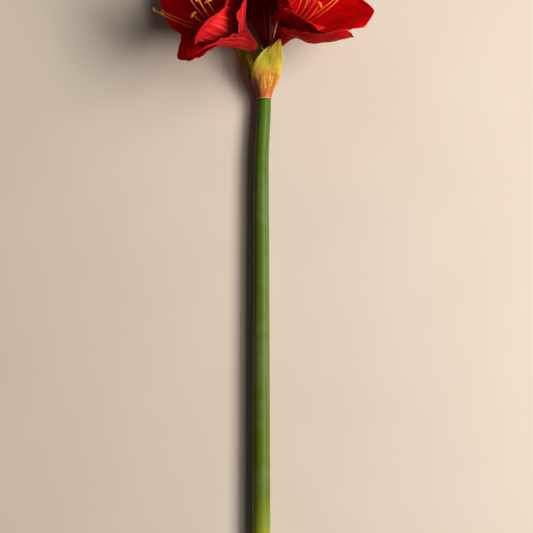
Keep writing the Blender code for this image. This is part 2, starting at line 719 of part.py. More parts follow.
def bract_sheet(point_of, rows=BRACT_ROWS, columns=BRACT_COLUMNS):
    """A bmesh of a bract's middle sheet, all triangles, closing to one point at its tip."""
    mesh = bmesh.new()
    previous = None
    for r in range(rows):
        line = [mesh.verts.new(point_of(r / rows, 2.0 * c / columns - 1.0)) for c in range(columns + 1)]
        if previous:
            for c in range(columns):
                mesh.faces.new((previous[c], previous[c + 1], line[c + 1]))
                mesh.faces.new((previous[c], line[c + 1], line[c]))
        previous = line
    tip = mesh.verts.new(point_of(1.0, 0.0))
    for c in range(columns):
        mesh.faces.new((previous[c], previous[c + 1], tip))
    return mesh


def bract(name, point_of, collection, material):
    """One papery bract of the spathe."""
    obj = object_from_bmesh(name, bract_sheet(point_of), collection, material)
    thicken(obj, BRACT_THICKNESS)
    return obj


def material(name, colour, roughness):
    """A plain material of the real surface's colour."""
    made = bpy.data.materials.new(name)
    made.use_nodes = True
    shader = made.node_tree.nodes["Principled BSDF"]
    shader.inputs["Base Color"].default_value = (*colour, 1.0)
    shader.inputs["Roughness"].default_value = roughness
    return made


def lowest_and_highest(objects):
    """The corners of the box round these objects."""
    bpy.context.view_layer.update()
    graph = bpy.context.evaluated_depsgraph_get()
    corners = []
    for obj in objects:
        evaluated = obj.evaluated_get(graph)
        corners += [evaluated.matrix_world @ Vector(corner) for corner in evaluated.bound_box]
    low = Vector([min(corner[i] for corner in corners) for i in range(3)])
    high = Vector([max(corner[i] for corner in corners) for i in range(3)])
    return low, high


def build():
    """The whole flower, standing on its footprint's middle."""
    for obj in list(bpy.data.objects):
        bpy.data.objects.remove(obj)
    flower = bpy.data.collections.new("amaryllis_stem")
    cutters = bpy.data.collections.new("cutters")
    bpy.context.scene.collection.children.link(flower)
    bpy.context.scene.collection.children.link(cutters)
    green = material("scape green", (0.13, 0.22, 0.03), 0.42)
    leafy = material("pedicel green", (0.10, 0.20, 0.03), 0.50)
    papery = material("spathe yellow green", (0.50, 0.40, 0.08), 0.60)
    petal = material("petal red", (0.48, 0.010, 0.012), 0.45)
    pollen = material("filament orange", (0.80, 0.22, 0.03), 0.55)
    rose = material("style pink red", (0.62, 0.05, 0.06), 0.45)
    pieces = [
        scape(flower, cutters, green),
        bract("spathe_front", front_bract_point, flower, papery),
        bract("spathe_rear", rear_bract_point, flower, papery),
    ]
    for bloom in BLOOMS:
        pieces.append(lofted("pedicel_" + bloom.name, pedicel_rings(bloom), flower, leafy))
        pieces.append(perianth(bloom, flower, petal))
        pieces.append(stamens(bloom, flower, pollen))
        pieces.append(pistil(bloom, flower, rose))
    stand = bpy.data.objects.new("amaryllis_footprint", None)
    flower.objects.link(stand)
    low, high = lowest_and_highest(pieces)
    for obj in pieces + list(cutters.objects):
        obj.parent = stand
    for obj in pieces:
        obj.data.shade_smooth()
    stand.location = (-(low.x + high.x) / 2, -(low.y + high.y) / 2, -low.z)


build()
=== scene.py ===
"""Amaryllis stem, dressed: fine petals, stamens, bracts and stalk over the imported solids.

Metres, in the frame's own axes. Plan coordinates have their origin where the scape ends under the
spathe: X to the right, Y towards the blooms, Z up from the surface that the flower lies on.
"""
import math
from collections import namedtuple

import bpy
import numpy as np
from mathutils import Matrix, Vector


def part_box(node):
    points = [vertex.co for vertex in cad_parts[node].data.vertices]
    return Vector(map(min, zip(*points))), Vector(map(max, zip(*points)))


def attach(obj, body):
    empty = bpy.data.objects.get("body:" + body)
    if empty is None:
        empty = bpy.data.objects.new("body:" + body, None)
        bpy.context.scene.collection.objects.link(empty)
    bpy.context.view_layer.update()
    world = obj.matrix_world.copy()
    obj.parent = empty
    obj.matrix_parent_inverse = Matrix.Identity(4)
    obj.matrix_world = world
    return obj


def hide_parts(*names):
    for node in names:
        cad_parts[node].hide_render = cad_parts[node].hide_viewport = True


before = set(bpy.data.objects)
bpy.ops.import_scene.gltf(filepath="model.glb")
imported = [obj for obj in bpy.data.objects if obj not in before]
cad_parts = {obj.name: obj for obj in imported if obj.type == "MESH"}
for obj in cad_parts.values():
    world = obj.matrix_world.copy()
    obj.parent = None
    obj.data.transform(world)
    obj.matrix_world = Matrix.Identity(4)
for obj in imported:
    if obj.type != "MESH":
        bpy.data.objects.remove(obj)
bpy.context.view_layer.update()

SEED = 20
TURN = 2.0 * math.pi

# Scape, as in the solids
SCAPE_LENGTH = 0.490
SCAPE_CUT_RADIUS = 0.0102
SCAPE_TOP_RADIUS = 0.0071
SCAPE_TAPER_POWER = 0.45
SCAPE_WALL = 0.0030
SCAPE_HEIGHT = 0.0098
SCAPE_DOME = 0.0035
SCAPE_CHAMFER = 0.0005
BORE_END = 0.014
HEAD_LEAN = 0.0036
HEAD_LEAN_OVER = (-0.075, 0.010)
GAP = 0.0003
SURFACE_CLEARANCE = 0.0005

# Pedicel and ovary, as in the solids
PEDICEL_RADIUS = 0.0025
PEDICEL_RING = 0.0038
PEDICEL_FOOT_TURN = {"left": 150.0, "right": 30.0, "centre": 270.0}
PEDICEL_FOOT_PULL = 0.36
PEDICEL_HEAD_PULL = 0.27
OVARY_RADIUS = 0.0047
OVARY_LENGTH = 0.019
OVARY_NECK_RADIUS = 0.0042
OVARY_LOBE = 0.12
OVARY_SWELLS_OVER = (1.15, 0.6)
OVARY_NECK_OVER = 0.35
STALK_RIB = 0.012

# Perianth, as in the solids
TUBE_LENGTH = 0.013
TUBE_WALL = 0.0018
TUBE_BASE_RADIUS = 0.0052
TUBE_FLARE = math.radians(14.0)
TEPAL_ROOT_HEIGHT = 0.004
TEPAL_OPENS_OVER = (0.05, 0.42)
TEPAL_CURL_ENDS = 1.05
Whorl = namedtuple("Whorl", "length half_width root_step layer leaves_tube_over")
WHORLS = (Whorl(0.130, 0.0320, 0.00025, 0.0, (0.12, 0.50)),
          Whorl(0.122, 0.0270, -0.00025, 0.0021, (0.40, 0.75)))
MIDRIB_STEPS = 60
CLAW_SHARE = 0.07
WIDTH_SKEW = 1.3
WIDTH_BLUNTNESS = 0.72
BLADE_BEND = 18.0
TIP_BEND = 4.0
TIP_FLATTENS_OVER = (0.6, 1.0)
LEAST_BEND = 0.01
LEAST_TUBE_RADIUS = 0.003
EDGE_WAVE = 0.0022
EDGE_WAVE_OVER = (0.3, 0.85)
EDGE_WAVE_POWER = 2.2
EDGE_RIPPLES = 1.6
FAR_EDGE_PHASE = 1.7
KEEL_DEPTH = 0.0008
KEEL_HALF_WIDTH = 0.0024
KEEL_OVER = (0.02, 0.15)
KEEL_FADES = 0.6
WHORLS_PART_OVER = (0.03, 0.25)

# The fine petal's grid, its skin and its scalloped edge. A skin thins to the margin and thickens to the root
Skin = namedtuple("Skin", "half thins power thickens root")
TEPAL_ROWS = 110
TEPAL_COLUMNS = 56
TEPAL_END = 0.9985
ROWS_CROWD_POWER = 1.4
COLUMNS_CROWD = 0.4
TEPAL_SKIN = Skin(0.00032, 0.6, 5, 0.8, (0.0, 0.25))
SCALLOP_DEPTH = 0.012
SCALLOPS = 7.0
FAR_SCALLOP_PHASE = 0.3

# Its relief: soft folds, pleats from the claw, a ruffled and rolled margin, a calm tip
Waves = namedtuple("Waves", "count height beats_along beats_across weakens", defaults=(0.0,))
FOLDS = Waves(5, 0.00045, (1.0, 3.6), (0.3, 1.5), 0.35)
FOLDS_START_OVER = (0.2, 0.55)
PLEAT_HEIGHT = 0.00100
PLEATS = 7
PLEATS_REACH = 0.85
PLEAT_JITTER = 0.3
PLEAT_WIDTHS = (0.035, 0.06)
PLEAT_STRENGTHS = (0.4, 1.0)
PLEAT_DRIFT = 0.10
PLEAT_CREASE = 0.45
PLEATS_START_OVER = (0.08, 0.25)
PLEATS_END_OVER = (0.5, 0.95)
RUFFLE_HEIGHT = 0.0008
RUFFLES = 6.3
FINE_RUFFLE_SHARE = 0.5
FINE_RUFFLES = 2.3 * RUFFLES
RUFFLE_POWER = 7
RUFFLES_START_OVER = (0.2, 0.5)
RUFFLES_END_OVER = (0.9, 1.0)
MARGIN_ROLL = 0.0013
MARGIN_ROLLS_ACROSS = (0.82, 1.0)
MARGIN_ROLLS_ALONG = (0.25, 0.55)
TIP_CALMS_OVER = (0.84, 0.99)

# The fine tube: its ribs, how it thins into the petals, and where its colours start and end
TUBE_RIBS = 6
TUBE_RIB_DEPTH = 0.02
TUBE_MIDDLE = 0.0004
TUBE_TAPER = 0.0007
TUBE_WALL_THINS = 0.75
TUBE_BLUSH = (-0.035, 0.075)

# Stamens and pistil, as in the solids
FILAMENT_RADIUS = 0.0009
FILAMENT_LENGTH = 0.086
SHORT_FILAMENT = 0.88
FILAMENT_TAPER = 0.35
FILAMENT_SPREAD = 0.005
ANTHER_LENGTH = 0.0085
ANTHER_RADIUS = 0.0012
ANTHER_FULLNESS = 1.15
ANTHER_DROOP = 0.0016
COLLAR_HEIGHT = 0.0045
COLLAR_LENGTH = 0.004
COLLAR_WALL = 0.0014
STYLE_RADIUS = 0.0011
STYLE_LENGTH = 0.104
STYLE_TAPER = 0.3
STYLE_SAG_SHAPE = 6.75
STYLE_RISE_POWER = 3.5
STIGMA_LENGTH = 0.0055
STIGMA_ROOT = 0.0008
STIGMA_SPREAD = 0.8
STIGMA_CURLS_BACK = (0.7, 0.35)

# Points along and round each small piece
TUBE_GRID = (16, 72)
FILAMENT_GRID = (44, 14)
ANTHER_GRID = (34, 20)
STYLE_GRID = (52, 16)
STIGMA_GRID = (16, 14)
STALK_GRID = (64, 48)
COLLAR_SIDES = 48

# The fine stamens and stigma
FILAMENT_TIP_THINS = 0.35
FILAMENT_TIP_OVER = (0.93, 1.0)
COLLAR_FRINGE = 0.0004
ANTHER_TWIST = 0.35
ANTHER_LUMP = 0.13
ANTHER_LUMPS = (3.0, 4.5)
ANTHER_POINTED = 0.93
ANTHER_LEAST = 0.02
ANTHER_SECTION = (0.86, 0.20)
ANTHER_GRAIN = (-0.17, 0.17)
STIGMA_RADIUS = 0.00074
STIGMA_TAPER = 0.25
STIGMA_TIP_ROUNDS = 0.85
STIGMA_GRAIN = (-0.07, 0.10)

# The fine scape: ribs as shares of its radius, with their counts and turns, its cut face as heights and
# depths, its dome as heights and shares of its radius, and its bore
SCAPE_RIBS = ((0.010, 2.0, 0.7), (0.004, 5.0, 0.0), (0.0016, 31.0, 0.0))
SCAPE_RIBS_BEAT = (0.7, 0.3, 23.0)
SCAPE_SIDES = 128
SCAPE_RINGS = 150
CUT_FACE = ((0.0002, 0.0028), (0.0, 0.0024), (0.0001, 0.0015), (0.0, 0.00075), (0.0, SCAPE_CHAMFER))
DOME = ((0.0016, 0.97), (0.0028, 0.85), (SCAPE_DOME, 0.5))
BORE_RIBS = 2.0
BORE_HEAD = 0.6
BORE_RINGS = 26

# Spathe, as in the solids. What rises, deepens and opens along a bract are soft steps: how much, from, to
BRACT_THICKNESS = 0.0009
BRACT_FOOT = 0.0008
BRACT_WRAP = math.radians(88.0)
Bract = namedtuple("Bract", "side length half_width widest narrows_power lean lean_power rises deepens opens")
FRONT_BRACT = Bract(
    side=1.0, length=0.0605, half_width=0.0163, widest=0.43, narrows_power=2.4, lean=0.0170, lean_power=2.6,
    rises=((0.0245, -0.2, 1.0),), deepens=((0.0020, 0.0, 0.3), (-0.0068, 0.20, 0.75)),
    opens=(math.radians(34.0), 0.2, 0.8))
REAR_BRACT = Bract(
    side=-1.0, length=0.0690, half_width=0.0112, widest=0.50, narrows_power=3.0, lean=-0.0310, lean_power=1.6,
    rises=((-0.0008, 0.0, 0.3), (0.0030, 0.6, 1.0)), deepens=((-0.0058, 0.05, 0.35),),
    opens=(math.radians(20.0), 0.2, 1.0))

# The fine bract: its grid, its skin, its nicked edge, its raised veins and its waves
BRACT_ROWS = 120
BRACT_COLUMNS = 104
BRACT_END = 0.998
BRACT_ROWS_CROWD_POWER = 1.3
BRACT_SKIN = Skin(0.00030, 0.5, 6, 0.9, (0.012, 0.03))
BRACT_LEAST_HEIGHT = 0.0009
NICK_DEPTH = 0.035
NICKS = 9.0
VEINS = 26
VEIN_HEIGHT = 0.00016
VEIN_WIDTH = 0.022
VEIN_JITTER = 0.4
VEIN_STRENGTHS = (0.3, 1.0)
VEIN_ENDS = (0.45, 1.1)
VEIN_FADE = 0.3
VEINS_START_OVER = (0.02, 0.12)
WAVES = Waves(4, 0.00022, (1.0, 3.0), (0.3, 1.2))
WAVES_START_OVER = (0.1, 0.4)

# Each bloom's reds, dark to pale, the painted highlight on the pleats of its back, how pale its margins and
# streaks are, where painted shade darkens its throat, and the place and strength of each painted highlight
# rib
INSIDE_STOPS = (0.32, 0.50, 0.68)
BACK_STOPS = (0.30, 0.52, 0.72)
PETAL_LOOKS_PAINTED_LIT_AND_SHADED = {
    # Painted light: the left bloom's reds, inside and back, are paler than the others' for the light that
    # falls on it
    "left": dict(
        inside=((0.55, 0.0004, 0.0010), (0.80, 0.0007, 0.0016), (0.94, 0.0030, 0.0030)),
        back=((0.38, 0.0030, 0.0050), (0.53, 0.0105, 0.0130), (0.66, 0.0340, 0.0340)),
        pleat_painted_highlight=(0.84, 0.15, 0.15), edge=0.35, streaked=0.60, throat=(0.34, 0.06), ribs=()),
    "right": dict(
        inside=((0.32, 0.0006, 0.0010), (0.50, 0.0010, 0.0012), (0.64, 0.0040, 0.0028)),
        back=((0.32, 0.0010, 0.0010), (0.46, 0.0018, 0.0018), (0.58, 0.0050, 0.0045)),
        pleat_painted_highlight=(0.56, 0.016, 0.014), edge=0.35, streaked=0.15, throat=(0.48, 0.14), ribs=()),
    # Painted shade: the centre bloom's reds are darker for the shade it lies in, and its pale ribs are
    # painted highlights
    "centre": dict(
        inside=((0.26, 0.0005, 0.0010), (0.42, 0.0009, 0.0012), (0.56, 0.0035, 0.0028)),
        back=((0.14, 0.0006, 0.0016), (0.24, 0.0014, 0.0028), (0.36, 0.0050, 0.0060)),
        pleat_painted_highlight=(0.50, 0.05, 0.06), edge=0.90, streaked=0.30, throat=(0.34, 0.06),
        ribs=((0.03, 0.30), (0.27, 0.75), (0.42, 0.95))),
}
RIB_WANDER = 0.06
RIB_HALF_WIDTH = 0.035

# Colours laid over parts of the petals, the bracts and the scape
THROAT_SHADE = (0.060, 0.0006, 0.003)
INSIDE_VEINS = (0.10, 0.0006, 0.002)
# Painted shade in the grooves of the pleats inside the petals
INSIDE_CREASE_PAINTED_SHADE = (0.12, 0.0004, 0.001)
BACK_VEINS = (0.22, 0.002, 0.005)
BACK_NEAR_TUBE = (0.24, 0.003, 0.006)
PALE_STREAKS = (0.86, 0.34, 0.30)
# Painted highlights along the ribs on the centre bloom's back
PAINTED_RIB_HIGHLIGHTS = (0.95, 0.44, 0.44)
PETAL_MARGIN = (0.70, 0.10, 0.09)
TUBE_BROWN = (0.26, 0.13, 0.035)
BRACT_LINES = (0.30, 0.27, 0.010)
# Painted light that lifts the bract's shaded left flank
BRACT_FLANK_PAINTED_LIGHT = (0.92, 0.80, 0.16)
BRACT_BAND = (0.34, 0.195, 0.003)
BRACT_GOLD = (0.78, 0.50, 0.075)
BRACT_SHADE = (0.17, 0.014, 0.002)
BRACT_WISPS = (0.78, 0.42, 0.14)
BRACT_RIM = (0.48, 0.26, 0.11)
BRACT_MARGIN = (0.74, 0.68, 0.26)
SCAPE_WAX = (0.16, 0.21, 0.09)

# The photograph's frame: metres in a pixel at the scape, and the plan origin's pixel
PIXEL = 0.0011
FRAME_PIXELS = 533
ORIGIN_PIXEL = (261.0, 100.0)
CAMERA_HEIGHT = 1.45
SENSOR = 36.0

scape_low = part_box("scape")[0]
PLAN_ORIGIN = np.array([scape_low[0] + SCAPE_CUT_RADIUS, scape_low[1] + SCAPE_LENGTH, 0.0])


def smooth(x, low, high):
    """A soft step from 0 at low to 1 at high."""
    t = np.clip((np.asarray(x, dtype=float) - low) / (high - low), 0.0, 1.0)
    return t * t * (3.0 - 2.0 * t)


def above_surface(height, level, softness=0.0025):
    """The height, bent softly so that it never falls under the level."""
    return level + softness * np.logaddexp(0.0, (height - level) / softness)


def between(x, start, end):
    """1 between two soft steps, and 0 outside them."""
    return smooth(x, *start) * (1.0 - smooth(x, *end))


def bell(x):
    """A soft ridge: 1 at 0, and nothing beyond about 2."""
    return np.exp(-(x ** 2))


def unit(vectors):
    """Vectors along the last axis, made one long."""
    return vectors / np.maximum(np.linalg.norm(vectors, axis=-1, keepdims=True), 1e-12)


def tube_radius(height):
    """The perianth tube's outer radius at a height on it."""
    return TUBE_BASE_RADIUS + height * math.tan(TUBE_FLARE)


def angles(count):
    """Even angles round a full turn."""
    return np.linspace(0.0, TURN, count, endpoint=False)


def sheet_skin(s, u, skin):
    """Half the thickness of a sheet, all over it."""
    thinned = skin.half * (1.0 - skin.thins * np.abs(u) ** skin.power)
    return thinned * (1.0 + skin.thickens * (1.0 - smooth(s, *skin.root)))


def soft_waves(draw, s, u, waves):
    """The sum of some slanting waves over a sheet."""
    total = 0.0
    for k in range(waves.count):
        beat = draw.uniform(*waves.beats_along) * s + draw.uniform(*waves.beats_across) * u + draw.uniform()
        total = total + waves.height / (1.0 + waves.weakens * k) * np.sin(TURN * beat)
    return total


class Bloom:
    """Where a bloom stands, which way it opens, and how its tepals differ."""

    def __init__(self, number, name, base, azimuth, elevation, tepals, sag, rise, fan, scale=1.0, reach=1.0):
        self.number, self.name, self.tepals, self.scale = number, name, tepals, scale
        self.sag, self.rise, self.fan, self.stretch = sag, rise, fan, scale * reach
        self.base = np.array(base)
        turn, tilt = math.radians(azimuth), math.radians(elevation)
        level = np.array([math.cos(turn), math.sin(turn), 0.0])
        up = np.array([0.0, 0.0, 1.0])
        self.axis = level * math.cos(tilt) + up * math.sin(tilt)
        self.down = level * math.sin(tilt) - up * math.cos(tilt)
        self.side = np.array([math.sin(turn), -math.cos(turn), 0.0])

    def outward(self, turn):
        """The direction square to the axis, turned from the side that faces the surface."""
        angle = math.radians(turn)
        return self.down * math.cos(angle) + self.side * math.sin(angle)


# A tepal's own habit: degrees round and from the axis, and shares of its whorl's size
Tepal = namedtuple("Tepal", "turn opening curl phase length width curl_from", defaults=(1.0, 1.0, 0.5))
BLOOMS = (
    Bloom(0, "left", (-0.0052, 0.0540, 0.0245), 150.0, 38.0, (
        Tepal(122.0, 48.0, 8.0, length=0.93, width=1.30, phase=0.2),
        Tepal(-112.0, 29.0, 34.0, length=0.70, phase=0.7),
        Tepal(6.0, 44.0, 20.0, length=0.95, width=1.10, phase=0.4),
        Tepal(-160.0, 29.0, 24.0, length=0.99, width=1.18, phase=0.3),
        Tepal(-57.0, 30.0, 72.0, length=0.73, width=1.20, curl_from=0.35, phase=0.6),
        Tepal(64.0, 29.0, 20.0, width=1.05, phase=0.0),
    ), sag=0.008, rise=0.012, fan=(0.060, 0.012), reach=1.12),
    Bloom(1, "right", (0.0165, 0.0570, 0.0240), 52.0, 41.0, (
        Tepal(124.0, 62.0, -50.0, length=0.84, width=1.30, curl_from=0.3, phase=0.6),
        Tepal(0.0, 48.0, 25.0, phase=0.9),
        Tepal(-128.0, 34.0, 24.0, width=1.10, phase=0.4),
        Tepal(165.0, 43.0, 18.0, phase=0.2),
        Tepal(-48.0, 35.0, 20.0, phase=0.5),
        Tepal(62.0, 45.0, 5.0, length=0.90, width=1.66, phase=0.1),
    ), sag=0.0105, rise=-0.004, fan=(0.010, 0.022)),
    Bloom(2, "centre", (0.0075, 0.0565, 0.0100), 97.0, 11.0, (
        Tepal(180.0, 21.0, 18.0, phase=0.2, width=1.35),
        Tepal(-60.0, 42.0, 0.0, phase=0.5, width=1.2),
        Tepal(60.0, 38.0, 4.0, phase=0.1, width=1.2),
        Tepal(0.0, 15.0, 16.0, phase=0.9, width=0.9),
        Tepal(-120.0, 28.0, 8.0, phase=0.4, width=1.1),
        Tepal(120.0, 25.0, 8.0, phase=0.6, width=1.05),
    ), scale=0.90, sag=0.002, rise=0.003, fan=(0.004, 0.004)),
)


def placed(name, data):
    """A new object of this data, in the scene."""
    obj = bpy.data.objects.new(name, data)
    bpy.context.scene.collection.objects.link(obj)
    return obj


class Shape:
    """A mesh in the making: points, faces and one number of each kind for every point."""

    def __init__(self, *kinds):
        self.points, self.faces, self.count = [], [], 0
        self.values = {kind: [] for kind in kinds}

    def add(self, points, faces, **values):
        """Adds points and their faces, whose corners count from these points' first."""
        points = np.asarray(points, dtype=float).reshape(-1, 3)
        self.points.append(points)
        self.faces += [tuple(int(i) + self.count for i in face) for face in faces]
        self.count += len(points)
        for kind, parts in self.values.items():
            parts.append(np.broadcast_to(np.ravel(values.get(kind, 0.0)), len(points)))

    def piece(self, name, material):
        """The finished object, standing in the frame's place."""
        mesh = bpy.data.meshes.new(name)
        mesh.from_pydata((np.concatenate(self.points) + PLAN_ORIGIN).tolist(), [], self.faces)
        for kind, parts in self.values.items():
            layer = mesh.attributes.new(kind, "FLOAT", "POINT")
            layer.data.foreach_set("value", np.concatenate(parts).astype(np.float32))
        mesh.validate()
        mesh.shade_smooth()
        mesh.materials.append(material)
        return placed(name, mesh)


def grid_faces(rows, columns, flip=False):
    """The quads of a grid of rows + 1 lines, each of columns + 1 points."""
    first = np.arange(rows)[:, None] * (columns + 1) + np.arange(columns)[None, :]
    quads = np.stack([first, first + 1, first + columns + 2, first + columns + 1], axis=-1).reshape(-1, 4)
    return quads[:, ::-1] if flip else quads


def grid_normals(points):
    """The unit normals of a grid of points, on the side that its quads face."""
    along = np.gradient(points, axis=0)
    across = np.gradient(points, axis=1)
    return unit(np.cross(across, along))


def add_sheet(shape, points, half_skin, outside=(0.0, 1.0), **values):
    """A thin closed skin round a grid of middle points, with an outside value for each side."""
    rows, columns = points.shape[0] - 1, points.shape[1] - 1
    count = (rows + 1) * (columns + 1)
    skin = grid_normals(points) * half_skin[..., None]
    index = np.arange(count).reshape(rows + 1, columns + 1)
    rim = [*index[0, :-1], *index[:-1, -1], *index[-1, :0:-1], *index[:0:-1, 0]]
    faces = [*grid_faces(rows, columns), *(grid_faces(rows, columns, flip=True) + count)]
    faces += [(b, a, a + count, b + count) for a, b in zip(rim, rim[1:] + rim[:1])]
    doubled = {kind: np.tile(np.broadcast_to(value, points.shape[:2]).ravel(), 2)
               for kind, value in values.items()}
    doubled["outside"] = np.repeat(outside, count)
    shape.add(np.stack([points + skin, points - skin]), faces, **doubled)


def add_rings(shape, rings, closed=True, flip=False, **values):
    """A skin through rings of points, with a centre point in each end where it is closed."""
    rings = np.asarray(rings)
    count, sides = rings.shape[:2]
    here = np.arange(sides)
    after = (here + 1) % sides
    row = np.arange(count - 1)[:, None] * sides
    quads = np.stack([row + here, row + after, row + sides + after, row + sides + here], axis=-1)
    quads = quads.reshape(-1, 4)
    faces = list(quads[:, ::-1] if flip else quads)
    points = rings.reshape(-1, 3)
    for number, first, second in ((0, after, here), (count - 1, here, after)) if closed else ():
        first, second = (second, first) if flip else (first, second)
        faces += zip(number * sides + first, number * sides + second, [len(points)] * sides)
        points = np.concatenate([points, rings[number].mean(axis=0, keepdims=True)])
    full = {}
    for kind, value in values.items():
        value = np.broadcast_to(np.asarray(value, dtype=float), (count, sides)).ravel()
        full[kind] = np.concatenate([value, value[[0, -1]]]) if closed else value
    shape.add(points, faces, **full)


def rings_along(path, along, side, reach):
    """Rings square to a path, turned as little as can be, each point as far out as its reach."""
    around = angles(reach.shape[1])[:, None]
    rings = []
    for point, direction, row in zip(path, along, reach):
        side = unit(side - direction * side.dot(direction))
        circle = np.cos(around) * side + np.sin(around) * np.cross(direction, side)
        rings.append(point + circle * row[:, None])
    return np.array(rings)


def tube_rings(path, radii, sides, section=np.ones_like):
    """Rings round a path, whose section gives the swell at each angle."""
    along = unit(np.gradient(path, axis=0))
    side = np.cross(along[0], [0.0, 0.0, 1.0])
    side = side if np.linalg.norm(side) > 0.1 else np.cross(along[0], [1.0, 0.0, 0.0])
    return rings_along(path, along, unit(side), radii[:, None] * section(angles(sides)))


def midrib_path(habit, length, root_radius):
    """Even steps of a tepal's length, and its radius, height and angle at each."""
    s = np.linspace(0.0, 1.0, MIDRIB_STEPS + 1)
    angle = TUBE_FLARE + (math.radians(habit.opening) - TUBE_FLARE) * smooth(s, *TEPAL_OPENS_OVER)
    angle = angle + math.radians(habit.curl) * smooth(s, habit.curl_from, TEPAL_CURL_ENDS)
    step = length / MIDRIB_STEPS
    radius = root_radius + step * np.insert(np.cumsum(np.sin(angle[:-1])), 0, 0.0)
    height = TEPAL_ROOT_HEIGHT + step * np.insert(np.cumsum(np.cos(angle[:-1])), 0, 0.0)
    return s, radius, height, angle


def width_share(s):
    """How wide a tepal is along its length: a narrow claw, widest past the middle, a pointed tip."""
    along = CLAW_SHARE + (1.0 - CLAW_SHARE) * s
    return np.sin(math.pi * along ** WIDTH_SKEW) ** WIDTH_BLUNTNESS


def petal_relief(draw, s, u):
    """The fine relief of a petal, inward, and how much of it is a pleat."""
    relief = soft_waves(draw, s, u, FOLDS) * smooth(s, *FOLDS_START_OVER)
    pleats = np.zeros(relief.shape)
    fade = between(s, PLEATS_START_OVER, PLEATS_END_OVER)
    for k in range(PLEATS):
        place = (k + 0.5 + draw.uniform(-PLEAT_JITTER, PLEAT_JITTER)) / PLEATS
        centre = place * (2.0 * PLEATS_REACH) - PLEATS_REACH
        width = draw.uniform(*PLEAT_WIDTHS)
        strength = draw.uniform(*PLEAT_STRENGTHS)
        away = (u - centre - draw.uniform(-PLEAT_DRIFT, PLEAT_DRIFT) * s) / width
        relief -= PLEAT_HEIGHT * strength * bell(away) * fade
        pleats += strength * bell(away / PLEAT_CREASE) * fade
    edge = np.abs(u)
    phases = draw.uniform(0.0, 1.0, 2)
    phase = np.where(u > 0.0, phases[0], phases[1])
    ruffle = np.sin(TURN * (RUFFLES * s + phase))
    ruffle = ruffle + FINE_RUFFLE_SHARE * np.sin(TURN * (FINE_RUFFLES * s - phase))
    relief += RUFFLE_HEIGHT * ruffle * edge ** RUFFLE_POWER * between(s, RUFFLES_START_OVER, RUFFLES_END_OVER)
    relief -= MARGIN_ROLL * smooth(edge, *MARGIN_ROLLS_ACROSS) * smooth(s, *MARGIN_ROLLS_ALONG)
    return relief, np.clip(pleats, 0.0, 1.0)


def add_tepal(shape, bloom, number):
    """One petal as a thin skin, on the same midrib, width and bends as its solid."""
    draw = np.random.default_rng(SEED + 10 * bloom.number + number)
    habit = bloom.tepals[number]
    whorl = WHORLS[number // 3]
    length = whorl.length * habit.length * bloom.scale
    half_width = whorl.half_width * habit.width * bloom.scale
    root = tube_radius(TEPAL_ROOT_HEIGHT) - TUBE_WALL / 2.0 + whorl.root_step
    t = np.linspace(0.0, 1.0, TEPAL_ROWS + 1)[:, None]
    s = TEPAL_END * (1.0 - (1.0 - t) ** ROWS_CROWD_POWER)
    v = np.linspace(-1.0, 1.0, TEPAL_COLUMNS + 1)[None, :]
    u = (1.0 - COLUMNS_CROWD) * v + COLUMNS_CROWD * np.sin(v * math.pi / 2.0)
    steps, *path = midrib_path(habit, length, root)
    radius, height, angle = (np.interp(s, steps, values) for values in path)
    outward = bloom.outward(habit.turn)
    across = np.cross(bloom.axis, outward)
    inward = bloom.axis * np.sin(angle)[..., None] - outward * np.cos(angle)[..., None]
    beat = SCALLOPS * s + draw.uniform(0.0, 1.0) + FAR_SCALLOP_PHASE * np.sign(u)
    offset = half_width * width_share(s) * u * (1.0 + SCALLOP_DEPTH * np.sin(TURN * beat))
    round_tube = np.cos(angle) / np.maximum(radius, LEAST_TUBE_RADIUS)
    bend = round_tube + (BLADE_BEND - round_tube) * smooth(s, *whorl.leaves_tube_over)
    bend += (TIP_BEND - BLADE_BEND) * smooth(s, *TIP_FLATTENS_OVER)
    bend = np.where(np.abs(bend) > LEAST_BEND, bend, LEAST_BEND)
    sideways = np.sin(bend * offset) / bend
    lift = (1.0 - np.cos(bend * offset)) / bend + whorl.layer * smooth(s, *WHORLS_PART_OVER)
    beat = EDGE_RIPPLES * s + habit.phase * np.where(u > 0.0, 1.0, FAR_EDGE_PHASE)
    wave = EDGE_WAVE * smooth(s, *EDGE_WAVE_OVER) * np.sin(TURN * beat)
    calm = 1.0 - smooth(s, *TIP_CALMS_OVER)
    lift = lift + wave * np.abs(u) ** EDGE_WAVE_POWER * calm
    keel = -KEEL_DEPTH * bell(offset / KEEL_HALF_WIDTH)
    lift = lift + keel * smooth(s, *KEEL_OVER) * (1.0 - KEEL_FADES * s)
    relief, pleats = petal_relief(draw, s, u)
    lift = lift + relief * calm
    points = bloom.base + outward * radius[..., None] + bloom.axis * height[..., None]
    points = points + across * sideways[..., None] + inward * lift[..., None]
    points[..., 2] = above_surface(points[..., 2], SURFACE_CLEARANCE)
    facing_in = np.sum(grid_normals(points) * inward) > 0.0
    add_sheet(shape, points, sheet_skin(s, u, TEPAL_SKIN), (0.0, 1.0) if facing_in else (1.0, 0.0),
              along=s, across=u, tone=draw.uniform(0.0, 1.0), pleat=pleats)


def turned_rings(bloom, profile, sides, ribs=0.0):
    """Rings turned about a bloom's axis from (radius, height) points, with soft ribs."""
    around = angles(sides)
    radial = np.cos(around)[:, None] * bloom.down + np.sin(around)[:, None] * bloom.side
    swell = 1.0 + ribs * np.cos(TUBE_RIBS * around)
    radii, heights = np.array(profile).T[..., None, None]
    return bloom.base + bloom.axis * heights + radial * (radii * swell[:, None])


